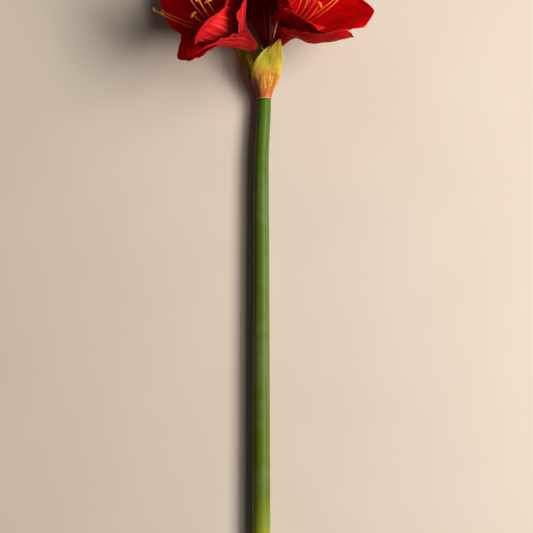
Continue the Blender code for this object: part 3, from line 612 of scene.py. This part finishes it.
def add_tube(shape, bloom):
    """The short tube that the six petals grow out of, thinning into them at its mouth."""
    rings, sides = TUBE_GRID
    heights = np.linspace(0.0, TUBE_LENGTH, rings)
    thinned = smooth(heights, TEPAL_ROOT_HEIGHT, TUBE_LENGTH)
    outside = tube_radius(heights) - TUBE_TAPER * thinned
    inside = outside - TUBE_WALL * (1.0 - TUBE_WALL_THINS * thinned)
    profile = [(TUBE_MIDDLE, 0.0), (OVARY_NECK_RADIUS, 0.0), *zip(outside, heights)]
    profile += zip(inside[:2:-1], heights[:2:-1])
    foot, mouth = TUBE_BLUSH
    along = foot + (mouth - foot) * np.array([height for _, height in profile]) / TUBE_LENGTH
    add_rings(shape, turned_rings(bloom, profile, sides, ribs=TUBE_RIB_DEPTH), flip=True,
              along=along[:, None], across=0.6, outside=1.0, tone=0.5)


def petals(bloom, material):
    """The red tube and the six petals of one bloom."""
    shape = Shape("along", "across", "outside", "tone", "pleat")
    for number in range(6):
        add_tepal(shape, bloom, number)
    add_tube(shape, bloom)
    return shape.piece("petals_" + bloom.name, material)


def upward(bloom):
    """The way up for the growing flower, square to the bloom's axis: the stamens curve to it."""
    up = np.array([0.0, 1.0, 0.0])
    return unit(up - bloom.axis * bloom.axis[1])


def style_line(bloom, distance):
    """The bent line through the bloom's middle, which sags and then rises."""
    q = distance / (STYLE_LENGTH * bloom.stretch)
    droop = bloom.rise * q ** STYLE_RISE_POWER - bloom.sag * STYLE_SAG_SHAPE * q * q * (1.0 - q)
    return bloom.base + bloom.axis * distance + upward(bloom) * droop


def filament_path(bloom, number):
    """The line of one filament, which spreads sideways from the style."""
    up = upward(bloom)
    across = np.cross(bloom.axis, up)
    turn = math.radians(60.0 * number + 30.0)
    radial = up * math.sin(turn) + across * math.cos(turn)
    root = tube_radius(COLLAR_HEIGHT) - TUBE_WALL - GAP - COLLAR_WALL / 2
    length = FILAMENT_LENGTH * bloom.stretch * (1.0 if number % 2 else SHORT_FILAMENT)
    spread = math.cos(turn) * bloom.fan[0 if math.cos(turn) > 0.0 else 1]
    t = np.linspace(0.0, 1.0, FILAMENT_GRID[0])[:, None]
    line = style_line(bloom, COLLAR_HEIGHT + COLLAR_LENGTH / 2 + length * t)
    return line + radial * (root + FILAMENT_SPREAD * t) + across * (spread * t * t)


def filaments(bloom, material):
    """Six tapering filaments on one fringed ring in the throat."""
    shape = Shape("along")
    top = COLLAR_HEIGHT + COLLAR_LENGTH
    low, high = tube_radius(COLLAR_HEIGHT) - TUBE_WALL - GAP, tube_radius(top) - TUBE_WALL - GAP
    profile = [(low - COLLAR_WALL, COLLAR_HEIGHT), (low, COLLAR_HEIGHT), (high, top)]
    profile += [(high - COLLAR_WALL / 2, top + COLLAR_FRINGE), (high - COLLAR_WALL, top), profile[0]]
    add_rings(shape, turned_rings(bloom, profile, COLLAR_SIDES), closed=False, flip=True, along=0.0)
    points, sides = FILAMENT_GRID
    t = np.linspace(0.0, 1.0, points)
    radii = FILAMENT_RADIUS * (1.0 - FILAMENT_TAPER * t)
    radii = radii * (1.0 - FILAMENT_TIP_THINS * smooth(t, *FILAMENT_TIP_OVER))
    for number in range(6):
        path = filament_path(bloom, number)
        add_rings(shape, tube_rings(path, radii, sides), along=t[:, None])
    return shape.piece("filaments_" + bloom.name, material)


def grainy(rings, draw, grain):
    """Rings with a rough surface: each point moves in or out by its own share of the radius."""
    middle = rings.mean(axis=1, keepdims=True)
    return middle + (rings - middle) * (1.0 + draw.uniform(*grain, rings.shape[:2])[..., None])


def anthers(bloom, material):
    """A curved two-lobed pollen sac balanced across the tip of each filament."""
    shape = Shape()
    draw = np.random.default_rng(SEED + 100 + bloom.number)
    points, sides = ANTHER_GRID
    share = np.linspace(-1.0, 1.0, points)
    girth, lobes = ANTHER_SECTION
    for number in range(6):
        path = filament_path(bloom, number)
        along = unit(path[-1] - path[-3])
        across = unit(np.cross(along, np.cross(bloom.axis, along)))
        across = unit(across + np.cross(along, across) * draw.uniform(-ANTHER_TWIST, ANTHER_TWIST))
        line = path[-1] + across * (share * ANTHER_LENGTH / 2)[:, None]
        line = line - along * (ANTHER_DROOP * share ** 2)[:, None]
        beat = draw.uniform(*ANTHER_LUMPS) * share + draw.uniform(0.0, 2.0)
        radii = ANTHER_FULLNESS * ANTHER_RADIUS * (1.0 + ANTHER_LUMP * np.sin(math.pi * beat))
        radii = radii * np.sqrt(np.maximum(1.0 - ANTHER_POINTED * share ** 2, ANTHER_LEAST))
        rings = tube_rings(line, radii, sides, section=lambda a: girth + lobes * np.cos(2.0 * a))
        add_rings(shape, grainy(rings, draw, ANTHER_GRAIN))
    return shape.piece("anthers_" + bloom.name, material)


def style(bloom, material):
    """The long style in the middle of the bloom."""
    shape = Shape("along")
    length = STYLE_LENGTH * bloom.stretch
    points, sides = STYLE_GRID
    t = np.linspace(0.0, 1.0, points)[:, None]
    path = style_line(bloom, GAP + (length - GAP) * t)
    radii = STYLE_RADIUS * (1.0 - STYLE_TAPER * t[:, 0])
    add_rings(shape, tube_rings(path, radii, sides), along=t)
    return shape.piece("style_" + bloom.name, material)


def stigma(bloom, material):
    """Three short lobes that curl back from the style's tip."""
    shape = Shape()
    draw = np.random.default_rng(SEED + 200 + bloom.number)
    length = STYLE_LENGTH * bloom.stretch
    tip, before = style_line(bloom, length), style_line(bloom, length * 0.98)
    along = unit(tip - before)
    first = unit(np.cross(along, [0.0, 0.0, 1.0]))
    points, sides = STIGMA_GRID
    share = np.linspace(0.0, 1.0, points)
    reach, turns_back = STIGMA_CURLS_BACK
    radii = STIGMA_RADIUS * (1.0 - STIGMA_TAPER * share)
    radii = radii * np.sqrt(1.0 - STIGMA_TIP_ROUNDS * smooth(share, 0.8, 1.0))
    for k in range(3):
        angle = math.radians(120.0 * k)
        out = first * math.cos(angle) + np.cross(along, first) * math.sin(angle)
        forward = STIGMA_LENGTH * (reach * share - turns_back * share ** 2) - STIGMA_ROOT
        line = tip + along * forward[:, None] + out * (STIGMA_LENGTH * STIGMA_SPREAD * share ** 2)[:, None]
        add_rings(shape, grainy(tube_rings(line, radii, sides), draw, STIGMA_GRAIN))
    return shape.piece("stigma_" + bloom.name, material)


def scape_lean(y):
    """How far the scape's axis leans to the right at this place along it."""
    return HEAD_LEAN * smooth(y, *HEAD_LEAN_OVER)


def scape_radius(y):
    """The scape's outer radius at this place: it tapers to the head."""
    share = np.clip(-np.asarray(y) / SCAPE_LENGTH, 0.0, 1.0)
    return SCAPE_TOP_RADIUS + (SCAPE_CUT_RADIUS - SCAPE_TOP_RADIUS) * share ** SCAPE_TAPER_POWER


def flower_stalk(bloom, material):
    """The pedicel from the scape's top up to the three-lobed ovary under the tube."""
    angle = math.radians(PEDICEL_FOOT_TURN[bloom.name])
    top = np.array([float(scape_lean(SCAPE_DOME)), SCAPE_DOME + GAP, SCAPE_HEIGHT])
    start = top + np.array([math.cos(angle), 0.0, math.sin(angle)]) * PEDICEL_RING
    end = bloom.base - bloom.axis * GAP
    reach = np.linalg.norm(end - start)
    first = start + np.array([0.0, reach * PEDICEL_FOOT_PULL, 0.0])
    second = end - bloom.axis * reach * PEDICEL_HEAD_PULL
    points, sides = STALK_GRID
    t = np.linspace(0.0, 1.0, points)[:, None]
    rest = 1.0 - t
    path = start * rest ** 3 + first * 3 * t * rest ** 2 + second * 3 * t * t * rest + end * t ** 3
    along = unit((first - start) * rest ** 2 + (second - first) * 2 * t * rest + (end - second) * t * t)
    to_end = rest * reach / OVARY_LENGTH
    ovary, neck = smooth(to_end, *OVARY_SWELLS_OVER), smooth(to_end, OVARY_NECK_OVER, 0.0)
    radius = PEDICEL_RADIUS + (OVARY_RADIUS - PEDICEL_RADIUS) * ovary
    radius = radius + (OVARY_NECK_RADIUS - OVARY_RADIUS) * neck
    around = angles(sides)
    lobes = OVARY_LOBE * ovary * (1.0 - neck) * np.cos(3.0 * around) + STALK_RIB * np.cos(12.0 * around)
    shape = Shape()
    add_rings(shape, rings_along(path, along, np.array([1.0, 0.0, 0.0]), radius * (1.0 + lobes)))
    return shape.piece("flower_stalk_" + bloom.name, material)


def stem(material):
    """The hollow scape: a faintly ribbed skin, a cut end and the pale bore inside it."""
    around = angles(SCAPE_SIDES)
    ribs = sum(share * np.cos(count * around + turn) for share, count, turn in SCAPE_RIBS)
    end = -SCAPE_LENGTH
    bore = [-BORE_END - 0.002, -BORE_END - 0.006, *np.linspace(-0.06, end + 0.002, BORE_RINGS)]
    bore = [(y, scape_radius(y) - SCAPE_WALL) for y in bore]
    bore[0] = (bore[0][0], bore[0][1] * BORE_HEAD)
    rim = [(end + height, scape_radius(end) - depth) for height, depth in CUT_FACE]
    skin = end + SCAPE_CHAMFER + (SCAPE_LENGTH - SCAPE_CHAMFER) * np.linspace(0.0, 1.0, SCAPE_RINGS)
    skin = [(y, scape_radius(y)) for y in skin] + [(y, SCAPE_TOP_RADIUS * share) for y, share in DOME]
    parts = ((bore, BORE_RIBS, 1.0), (rim, 1.0, 0.8), (skin, 1.0, 0.0))
    rows = [(y, radius, strength, cut) for places, strength, cut in parts for y, radius in places]
    y, radius, strength, cut = np.array(rows, dtype=float).T[..., None]
    least, more, beat = SCAPE_RIBS_BEAT
    reach = radius * (1.0 + strength * ribs * (least + more * np.sin(beat * y)))
    x = scape_lean(y) + reach * np.cos(around)
    z = above_surface(SCAPE_HEIGHT + reach * np.sin(around), 0.00003, 0.00005)
    rings = np.stack([x, np.broadcast_to(y, x.shape), z], axis=-1)
    shape = Shape("along", "cut")
    add_rings(shape, rings, flip=True, along=1.0 + y / SCAPE_LENGTH, cut=cut)
    return shape.piece("stem", material)


def soft_steps(t, *steps):
    """The sum of soft steps, each given by how much, from where and to where."""
    return sum(amount * smooth(t, low, high) for amount, low, high in steps)


def bract_points(t, u, habit):
    """A bract's middle surface, round the scape at its foot and cupped over the ovaries."""
    base = SCAPE_TOP_RADIUS + GAP + BRACT_THICKNESS / 2
    widest, half_width, side = habit.widest, habit.half_width, habit.side
    widening = base + (half_width - base) * smooth(t, 0.0, widest)
    beyond = np.maximum((t - widest) / (1.0 - widest), 0.0)
    half = np.where(t < widest, widening, half_width * (1.0 - beyond ** habit.narrows_power))
    centre = scape_lean(0.0) + habit.lean * t ** habit.lean_power
    crest = SCAPE_HEIGHT + side * base + soft_steps(t, *habit.rises)
    depth = base + soft_steps(t, *habit.deepens)
    wrap = BRACT_WRAP - soft_steps(t, habit.opens)
    x = centre + half * np.sin(u * wrap) / np.sin(wrap)
    y = BRACT_FOOT + habit.length * t
    z = crest - side * depth * (1.0 - np.cos(u * wrap))
    return np.stack(np.broadcast_arrays(x, y, z), axis=-1)


def bract(name, habit, seed, material):
    """A papery bract: raised veins, a thin uneven margin and a thicker rim at its foot."""
    draw = np.random.default_rng(SEED + seed)
    t = np.linspace(0.0, 1.0, BRACT_ROWS + 1)[:, None]
    t = BRACT_END * (1.0 - (1.0 - t) ** BRACT_ROWS_CROWD_POWER)
    u = np.linspace(-1.0, 1.0, BRACT_COLUMNS + 1)[None, :]
    edge = np.abs(u) ** BRACT_SKIN.power
    nicks = 0.5 + 0.5 * np.sin(TURN * (NICKS * t + draw.uniform()))
    points = bract_points(t, u * (1.0 - NICK_DEPTH * edge * nicks), habit)
    veins = np.zeros(points.shape[:2])
    for k in range(VEINS):
        place = (k + 0.5 + draw.uniform(-VEIN_JITTER, VEIN_JITTER)) / VEINS
        ends = draw.uniform(*VEIN_ENDS)
        line = draw.uniform(*VEIN_STRENGTHS) * bell((u - (place * 2.0 - 1.0)) / VEIN_WIDTH)
        veins += line * (1.0 - smooth(t, ends - VEIN_FADE, ends))
    relief = VEIN_HEIGHT * veins * smooth(t, *VEINS_START_OVER)
    relief += soft_waves(draw, t, u, WAVES) * smooth(t, *WAVES_START_OVER)
    points = points + grid_normals(points) * relief[..., None]
    points[..., 2] = np.maximum(points[..., 2], BRACT_LEAST_HEIGHT)
    shape = Shape("along", "across", "tone")
    add_sheet(shape, points, sheet_skin(t, u, BRACT_SKIN), along=t, across=u, tone=draw.uniform())
    return shape.piece(name, material)


class Paint:
    """A material whose nodes are added by short calls, each giving back its output."""

    def __init__(self, name):
        self.material = bpy.data.materials.new(name)
        self.material.use_nodes = True
        self.tree = self.material.node_tree
        self.shader = self.tree.nodes["Principled BSDF"]

    def connect(self, node, key, value):
        """Links a value to an input where it is an output, and sets it there where it is plain."""
        if isinstance(value, bpy.types.NodeSocket):
            self.tree.links.new(value, node.inputs[key])
        else:
            node.inputs[key].default_value = value

    def node(self, kind, inputs, **settings):
        """A node with its settings and its inputs."""
        made = self.tree.nodes.new(kind)
        for name, value in settings.items():
            setattr(made, name, value)
        for key, value in inputs.items():
            self.connect(made, key, value)
        return made

    def number(self, name):
        """One of the mesh's own numbers."""
        return self.node("ShaderNodeAttribute", {}, attribute_name=name).outputs["Fac"]

    def place(self):
        """The point on the object, in metres."""
        return self.node("ShaderNodeTexCoord", {}).outputs["Object"]

    def math(self, operation, first, second=0.0, third=0.0):
        """One sum."""
        return self.node("ShaderNodeMath", {0: first, 1: second, 2: third}, operation=operation).outputs[0]

    def plus(self, first, second):
        """Two values, added."""
        return self.math("ADD", first, second)

    def times(self, first, *others):
        """The product of some values."""
        for other in others:
            first = self.math("MULTIPLY", first, other)
        return first

    def off(self, value, centre=0.0):
        """How far a value is from a centre."""
        return self.math("ABSOLUTE", self.math("SUBTRACT", value, centre))

    def vector(self, x, y, z):
        """Three numbers as one vector."""
        return self.node("ShaderNodeCombineXYZ", {0: x, 1: y, 2: z}).outputs[0]

    def noise(self, vector, scale, detail=3.0, roughness=0.5, distortion=0.0):
        """Soft noise between 0 and 1, whose scale is one number or one for each direction."""
        if isinstance(scale, tuple):
            vector = self.node("ShaderNodeVectorMath", {0: vector, 1: scale}, operation="MULTIPLY").outputs[0]
            scale = 1.0
        inputs = {"Vector": vector, "Scale": scale, "Detail": detail, "Roughness": roughness,
                  "Distortion": distortion}
        return self.node("ShaderNodeTexNoise", inputs).outputs["Fac"]

    def step(self, value, low, high):
        """0 below low, 1 above high and soft between, or the other way where low is above high."""
        rising = low < high
        inputs = {"Value": value, "From Min": min(low, high), "From Max": max(low, high),
                  "To Min": 0.0 if rising else 1.0, "To Max": 1.0 if rising else 0.0}
        return self.node("ShaderNodeMapRange", inputs, interpolation_type="SMOOTHSTEP").outputs["Result"]

    def ramp(self, value, *stops):
        """Colours along a value."""
        made = self.node("ShaderNodeValToRGB", {0: value})
        elements = made.color_ramp.elements
        while len(elements) < len(stops):
            elements.new(0.5)
        for element, (position, colour) in zip(elements, stops):
            element.position = position
            element.color = (*colour, 1.0)
        return made.outputs["Color"]

    def mix(self, share, first, second, blend="MIX"):
        """Two colours, mixed."""
        first, second = (colour if isinstance(colour, bpy.types.NodeSocket) else (*colour, 1.0)
                         for colour in (first, second))
        inputs = {0: share, 6: first, 7: second}
        return self.node("ShaderNodeMix", inputs, data_type="RGBA", blend_type=blend).outputs[2]

    def wash(self, colour, *layers):
        """Colours laid over one another, each as strongly as the product of its shares."""
        for over, *shares in layers:
            colour = self.mix(self.times(*shares), colour, over)
        return colour

    def finish(self, colour, roughness, height, distance, strength, glow=None, **sockets):
        """Gives the shader its colour, roughness, relief, glow and other values."""
        bump = self.node("ShaderNodeBump", {"Height": height, "Strength": strength, "Distance": distance})
        self.connect(self.shader, "Base Color", colour)
        self.connect(self.shader, "Roughness", roughness)
        self.connect(self.shader, "Normal", bump.outputs["Normal"])
        if glow:
            sockets.update(zip(("Subsurface_Weight", "Subsurface_Scale", "Subsurface_Radius"), glow))
        for name, value in sockets.items():
            self.shader.inputs[name.replace("_", " ")].default_value = value
        return self.material


def petal_paint(name, inside, back, pleat_painted_highlight, edge, streaked, throat, ribs):
    """Deep red inside with darker veins and painted shade in its throat and creases, and a back with painted
    highlights on its pleats, pale streaks and painted highlight ribs.
    """
    paint = Paint(name)
    along, across, tone = map(paint.number, ("along", "across", "tone"))
    pleat = paint.times(paint.number("pleat"), 0.45)
    blade = paint.vector(paint.times(across, 9.0), paint.times(along, 1.6), paint.times(tone, 31.0))
    veins = paint.noise(blade, 2.6, detail=4.0, roughness=0.62, distortion=0.25)
    fine = paint.noise(blade, (11.0, 2.64, 2.2), roughness=0.6)
    cloud = paint.noise(paint.place(), 38.0)
    patches = paint.plus(paint.times(veins, 0.55), paint.times(cloud, 0.45))
    lines = paint.times(paint.step(fine, 0.52, 0.66), 0.30)
    # Inside: painted shade in the throat and in the grooves of the pleats
    inner = paint.wash(paint.ramp(patches, *zip(INSIDE_STOPS, inside)),
                       (THROAT_SHADE, paint.step(along, *throat)),
                       (INSIDE_VEINS, lines), (INSIDE_CREASE_PAINTED_SHADE, pleat))
    near_midrib = paint.step(paint.off(across), 0.30, 0.0)
    near_tube = paint.step(along, 0.30, 0.05)
    # Back: painted highlight along the ridges of the pleats
    outer = paint.wash(paint.ramp(patches, *zip(BACK_STOPS, back)),
                       (BACK_VEINS, lines), (pleat_painted_highlight, pleat), (BACK_NEAR_TUBE, near_tube, 0.55),
                       (PALE_STREAKS, paint.step(fine, 0.50, 0.62), near_midrib, near_tube, streaked),
                       (TUBE_BROWN, paint.step(along, 0.06, -0.06), 0.8))
    # Ribs of painted highlight down the back, on the centre bloom
    if ribs:
        wander = paint.math("MULTIPLY_ADD", cloud, RIB_WANDER, across)
        length = paint.times(paint.step(along, 0.40, 0.22), paint.step(along, 0.02, 0.06))
    for place, strength in ribs:
        rib_highlight = paint.step(paint.off(wander, place), RIB_HALF_WIDTH, 0.4 * RIB_HALF_WIDTH)
        outer = paint.wash(outer, (PAINTED_RIB_HIGHLIGHTS, rib_highlight, length, strength))
    colour = paint.wash(paint.mix(paint.number("outside"), inner, outer),
                        (PETAL_MARGIN, paint.step(paint.off(across), 0.955, 1.0), edge))
    height = paint.plus(paint.times(fine, 0.6), paint.times(veins, 0.8))
    return paint.finish(colour, paint.math("MULTIPLY_ADD", cloud, 0.16, 0.46), height, 0.00035, 0.55,
                        (0.12, 0.0015, (1.0, 0.15, 0.10)), Specular_IOR_Level=0.01)


def grain_paint(name, scale, detail, roughness, relief, glow, *stops, along=None):
    """One grain makes the relief and the colour. Where along is given, it blurs the colours along a piece."""
    paint = Paint(name)
    grain = place = paint.noise(paint.place(), scale, detail=detail)
    if along:
        share, shift = along
        place = paint.math("MULTIPLY_ADD", grain, share, paint.plus(paint.number("along"), shift))
    return paint.finish(paint.ramp(place, *stops), roughness, grain, *relief, glow)


def pollen_paint():
    """Dusty yellow-orange grains."""
    paint = Paint("pollen_orange")
    grain = paint.noise(paint.place(), 2600.0, detail=2.0, roughness=0.7)
    patch = paint.noise(paint.place(), 420.0, detail=2.0)
    both = paint.plus(paint.times(grain, 0.5), paint.times(patch, 0.5))
    colour = paint.ramp(both, (0.32, (0.62, 0.11, 0.005)), (0.50, (0.96, 0.32, 0.015)),
                        (0.68, (1.0, 0.56, 0.07)))
    return paint.finish(colour, 0.85, grain, 0.0002, 0.8)


def stem_paint():
    """Waxy green skin with long streaks, yellow-green at the cut, pale where it is cut and hollow."""
    paint = Paint("scape_green")
    place = paint.place()
    streaks = paint.noise(place, (900.0, 9.0, 900.0), detail=4.0, roughness=0.6)
    broad = paint.noise(place, (160.0, 5.0, 160.0))
    cloud = paint.noise(place, 26.0, detail=4.0, roughness=0.55)
    pores = paint.noise(place, 520.0)
    green = paint.ramp(paint.number("along"), (0.0, (0.38, 0.38, 0.020)), (0.045, (0.20, 0.23, 0.008)),
                       (0.12, (0.094, 0.138, 0.004)), (0.55, (0.080, 0.126, 0.004)),
                       (0.97, (0.068, 0.142, 0.008)))
    lines = paint.ramp(streaks, (0.30, (0.62, 0.66, 0.55)), (0.70, (1.0, 1.0, 1.0)))
    green = paint.mix(0.8, green, lines, "MULTIPLY")
    patches = paint.plus(paint.times(cloud, 0.6), paint.times(broad, 0.4))
    green = paint.wash(green, (SCAPE_WAX, paint.step(patches, 0.42, 0.62), 0.30))
    pith = paint.ramp(pores, (0.30, (0.42, 0.46, 0.20)), (0.70, (0.70, 0.72, 0.46)))
    colour = paint.mix(paint.step(paint.number("cut"), 0.3, 0.7), green, pith)
    height = paint.plus(streaks, paint.times(broad, 0.7))
    return paint.finish(colour, paint.math("MULTIPLY_ADD", cloud, 0.16, 0.40), height, 0.00018, 0.45,
                        (0.06, 0.0015, (0.5, 1.0, 0.2)), Specular_IOR_Level=0.10, Coat_Weight=0.28,
                        Coat_Roughness=0.22)


def bract_paint(name, dry):
    """Papery bract: a yellow-green blade, and where it is dry, brown-orange fibres up from its foot."""
    paint = Paint(name)
    along, across, tone = map(paint.number, ("along", "across", "tone"))

    def grain(beat_across, beat_along, scale, **looks):
        place = paint.vector(paint.times(across, beat_across), paint.times(along, beat_along), tone)
        return paint.noise(place, scale, **looks)

    def patch(across_over, along_over):
        return paint.times(paint.step(across, *across_over), paint.step(along, *along_over))

    fibres = grain(9.0, 4.2, 1.0, detail=5.0, roughness=0.72, distortion=0.9)
    hairs = grain(30.0, 6.5, 1.0, detail=2.0, roughness=0.6, distortion=0.6)
    blade = paint.ramp(grain(2.6, 2.2, 1.4), (0.32, (0.36, 0.31, 0.012)), (0.50, (0.60, 0.50, 0.030)),
                       (0.68, (0.76, 0.64, 0.090)))
    band = paint.step(paint.off(across, 0.30), 0.26, 0.04)
    # Painted light on the blade's shaded left flank
    blade = paint.wash(blade, (BRACT_LINES, paint.step(hairs, 0.5, 0.68), 0.22),
                       (BRACT_FLANK_PAINTED_LIGHT, patch((-0.50, -0.95), (0.34, 0.50)), 0.70),
                       (BRACT_BAND, band, paint.step(along, 0.50, 0.66), 0.75))
    straw = paint.ramp(fibres, (0.34, (0.28, 0.075, 0.010)), (0.45, (0.48, 0.165, 0.018)),
                       (0.55, (0.68, 0.34, 0.045)), (0.66, (0.84, 0.58, 0.14)))
    low = paint.ramp(fibres, (0.34, (0.24, 0.036, 0.008)), (0.50, (0.45, 0.118, 0.022)),
                     (0.66, (0.66, 0.27, 0.075)))
    foot = paint.mix(paint.step(along, 0.34, 0.08), straw, low)
    reach = paint.math("MULTIPLY_ADD", fibres, -0.75, along)
    colour = paint.mix(paint.step(reach, dry - 0.30, dry - 0.42), blade, foot)
    colour = paint.wash(
        colour, (BRACT_GOLD, patch((-0.05, 0.30), (0.22, 0.36)), paint.step(fibres, 0.42, 0.58), 0.55),
        (BRACT_SHADE, patch((0.0, -0.42), (0.46, 0.28)), 0.80),
        (BRACT_WISPS, paint.step(hairs, 0.60, 0.70), paint.step(along, 0.50, 0.30), 0.45),
        (BRACT_RIM, paint.step(along, 0.026, 0.012)),
        (BRACT_MARGIN, paint.step(paint.off(across), 0.93, 0.98), 0.8))
    height = paint.plus(paint.times(fibres, 0.8), paint.times(hairs, 0.5))
    return paint.finish(colour, 0.55, height, 0.0005, 0.6, (0.10, 0.0015, (1.0, 0.8, 0.2)),
                        Specular_IOR_Level=0.25)


def light(name, position, target, width, height, power, colour):
    """A soft light panel that looks at its target."""
    lamp = bpy.data.lights.new(name, "AREA")
    lamp.shape = "RECTANGLE"
    lamp.size, lamp.size_y = width, height
    lamp.energy, lamp.color = power, colour
    obj = placed(name, lamp)
    obj.location = position
    obj.rotation_euler = (target - obj.location).to_track_quat("-Z", "Y").to_euler()
    return obj


def studio():
    """The floor, a key light low on the right, a weak fill and the camera straight above."""
    mesh = bpy.data.meshes.new("floor")
    mesh.from_pydata([(-3, -3, 0), (3, -3, 0), (3, 3, 0), (-3, 3, 0)], [], [(0, 1, 2, 3)])
    mesh.materials.append(grain_paint("pale_floor", 9.0, 2.0, 0.85, (0.0001, 0.05), None,
                                      (0.35, (0.605, 0.525, 0.435)), (0.65, (0.62, 0.54, 0.45))))
    placed("floor", mesh)
    middle = FRAME_PIXELS / 2.0
    x, y = (middle - ORIGIN_PIXEL[0]) * PIXEL, (ORIGIN_PIXEL[1] - middle) * PIXEL
    target = Vector(PLAN_ORIGIN + [x, y, 0.0])
    key = light("key", target + Vector((2.18, 0.30, 1.70)), target, 2.3, 0.85, 104.0, (1.0, 0.96, 0.91))
    key.visible_glossy = False
    light("softbox", target + Vector((1.52, 0.10, 1.62)), target, 1.7, 1.30, 30.0, (1.0, 0.98, 0.95))
    world = bpy.data.worlds.new("studio")
    world.use_nodes = True
    background = world.node_tree.nodes["Background"].inputs
    background["Color"].default_value = (1.0, 0.97, 0.93, 1.0)
    background["Strength"].default_value = 0.05
    scene = bpy.context.scene
    scene.world = world
    scene.view_settings.view_transform = "Standard"
    camera = bpy.data.cameras.new("camera")
    camera.sensor_width = SENSOR
    camera.lens = SENSOR * (CAMERA_HEIGHT - SCAPE_HEIGHT) / (PIXEL * FRAME_PIXELS)
    camera.clip_end = 20.0
    scene.camera = placed("camera", camera)
    scene.camera.location = Vector(PLAN_ORIGIN + [x, y, CAMERA_HEIGHT])


def put(piece, slot, *nodes):
    """Rides a piece on the stem and hides the solids that it stands for; its slot is not used."""
    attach(piece, "root")
    if nodes:
        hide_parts(*nodes)


studio()
put(stem(stem_paint()), "scape_green", "scape")
front, rear = bract_paint("spathe_front", 0.50), bract_paint("spathe_rear", 0.20)
put(bract("bract_front", FRONT_BRACT, 300, front), "spathe", "spathe_front")
put(bract("bract_rear", REAR_BRACT, 301, rear), "spathe", "spathe_rear")
# Each bloom has its own copy of the reds, painted paler or darker as painted light and painted shade
reds = {name: petal_paint("petal_red_painted_light_" + name, **look) for name, look in PETAL_LOOKS_PAINTED_LIT_AND_SHADED.items()}
orange = grain_paint("filament_orange", 900.0, 3.0, 0.42, (0.0001, 0.3), (0.10, 0.0010, (1.0, 0.4, 0.1)),
                     (0.0, (0.36, 0.004, 0.012)), (0.58, (0.64, 0.010, 0.040)),
                     (0.76, (0.86, 0.11, 0.02)), (0.92, (0.98, 0.32, 0.03)), along=(0.14, -0.07))
rose = grain_paint("style_rose", 700.0, 3.0, 0.40, (0.0001, 0.3), (0.10, 0.0010, (1.0, 0.3, 0.2)),
                   (0.0, (0.40, 0.004, 0.012)), (0.6, (0.60, 0.016, 0.035)), (1.0, (0.84, 0.14, 0.15)),
                   along=(0.10, 0.0))
pale_rose = grain_paint("stigma_rose", 2200.0, 2.0, 0.75, (0.0002, 0.7), None,
                        (0.35, (0.80, 0.22, 0.22)), (0.65, (0.95, 0.50, 0.46)))
green = grain_paint("pedicel_green", (700.0, 60.0, 700.0), 3.0, 0.42, (0.0002, 0.4),
                    (0.08, 0.0015, (0.5, 1.0, 0.2)),
                    (0.30, (0.060, 0.12, 0.018)), (0.70, (0.14, 0.24, 0.045)))
pollen = pollen_paint()
for bloom in BLOOMS:
    put(flower_stalk(bloom, green), "pedicel_green", "pedicel_" + bloom.name)
    put(petals(bloom, reds[bloom.name]), "petal_red", "perianth_" + bloom.name)
    put(filaments(bloom, orange), "stamen_orange", "stamens_" + bloom.name)
    put(anthers(bloom, pollen), "stamen_orange")
    put(style(bloom, rose), "pistil_rose", "pistil_" + bloom.name)
    put(stigma(bloom, pale_rose), "pistil_rose")
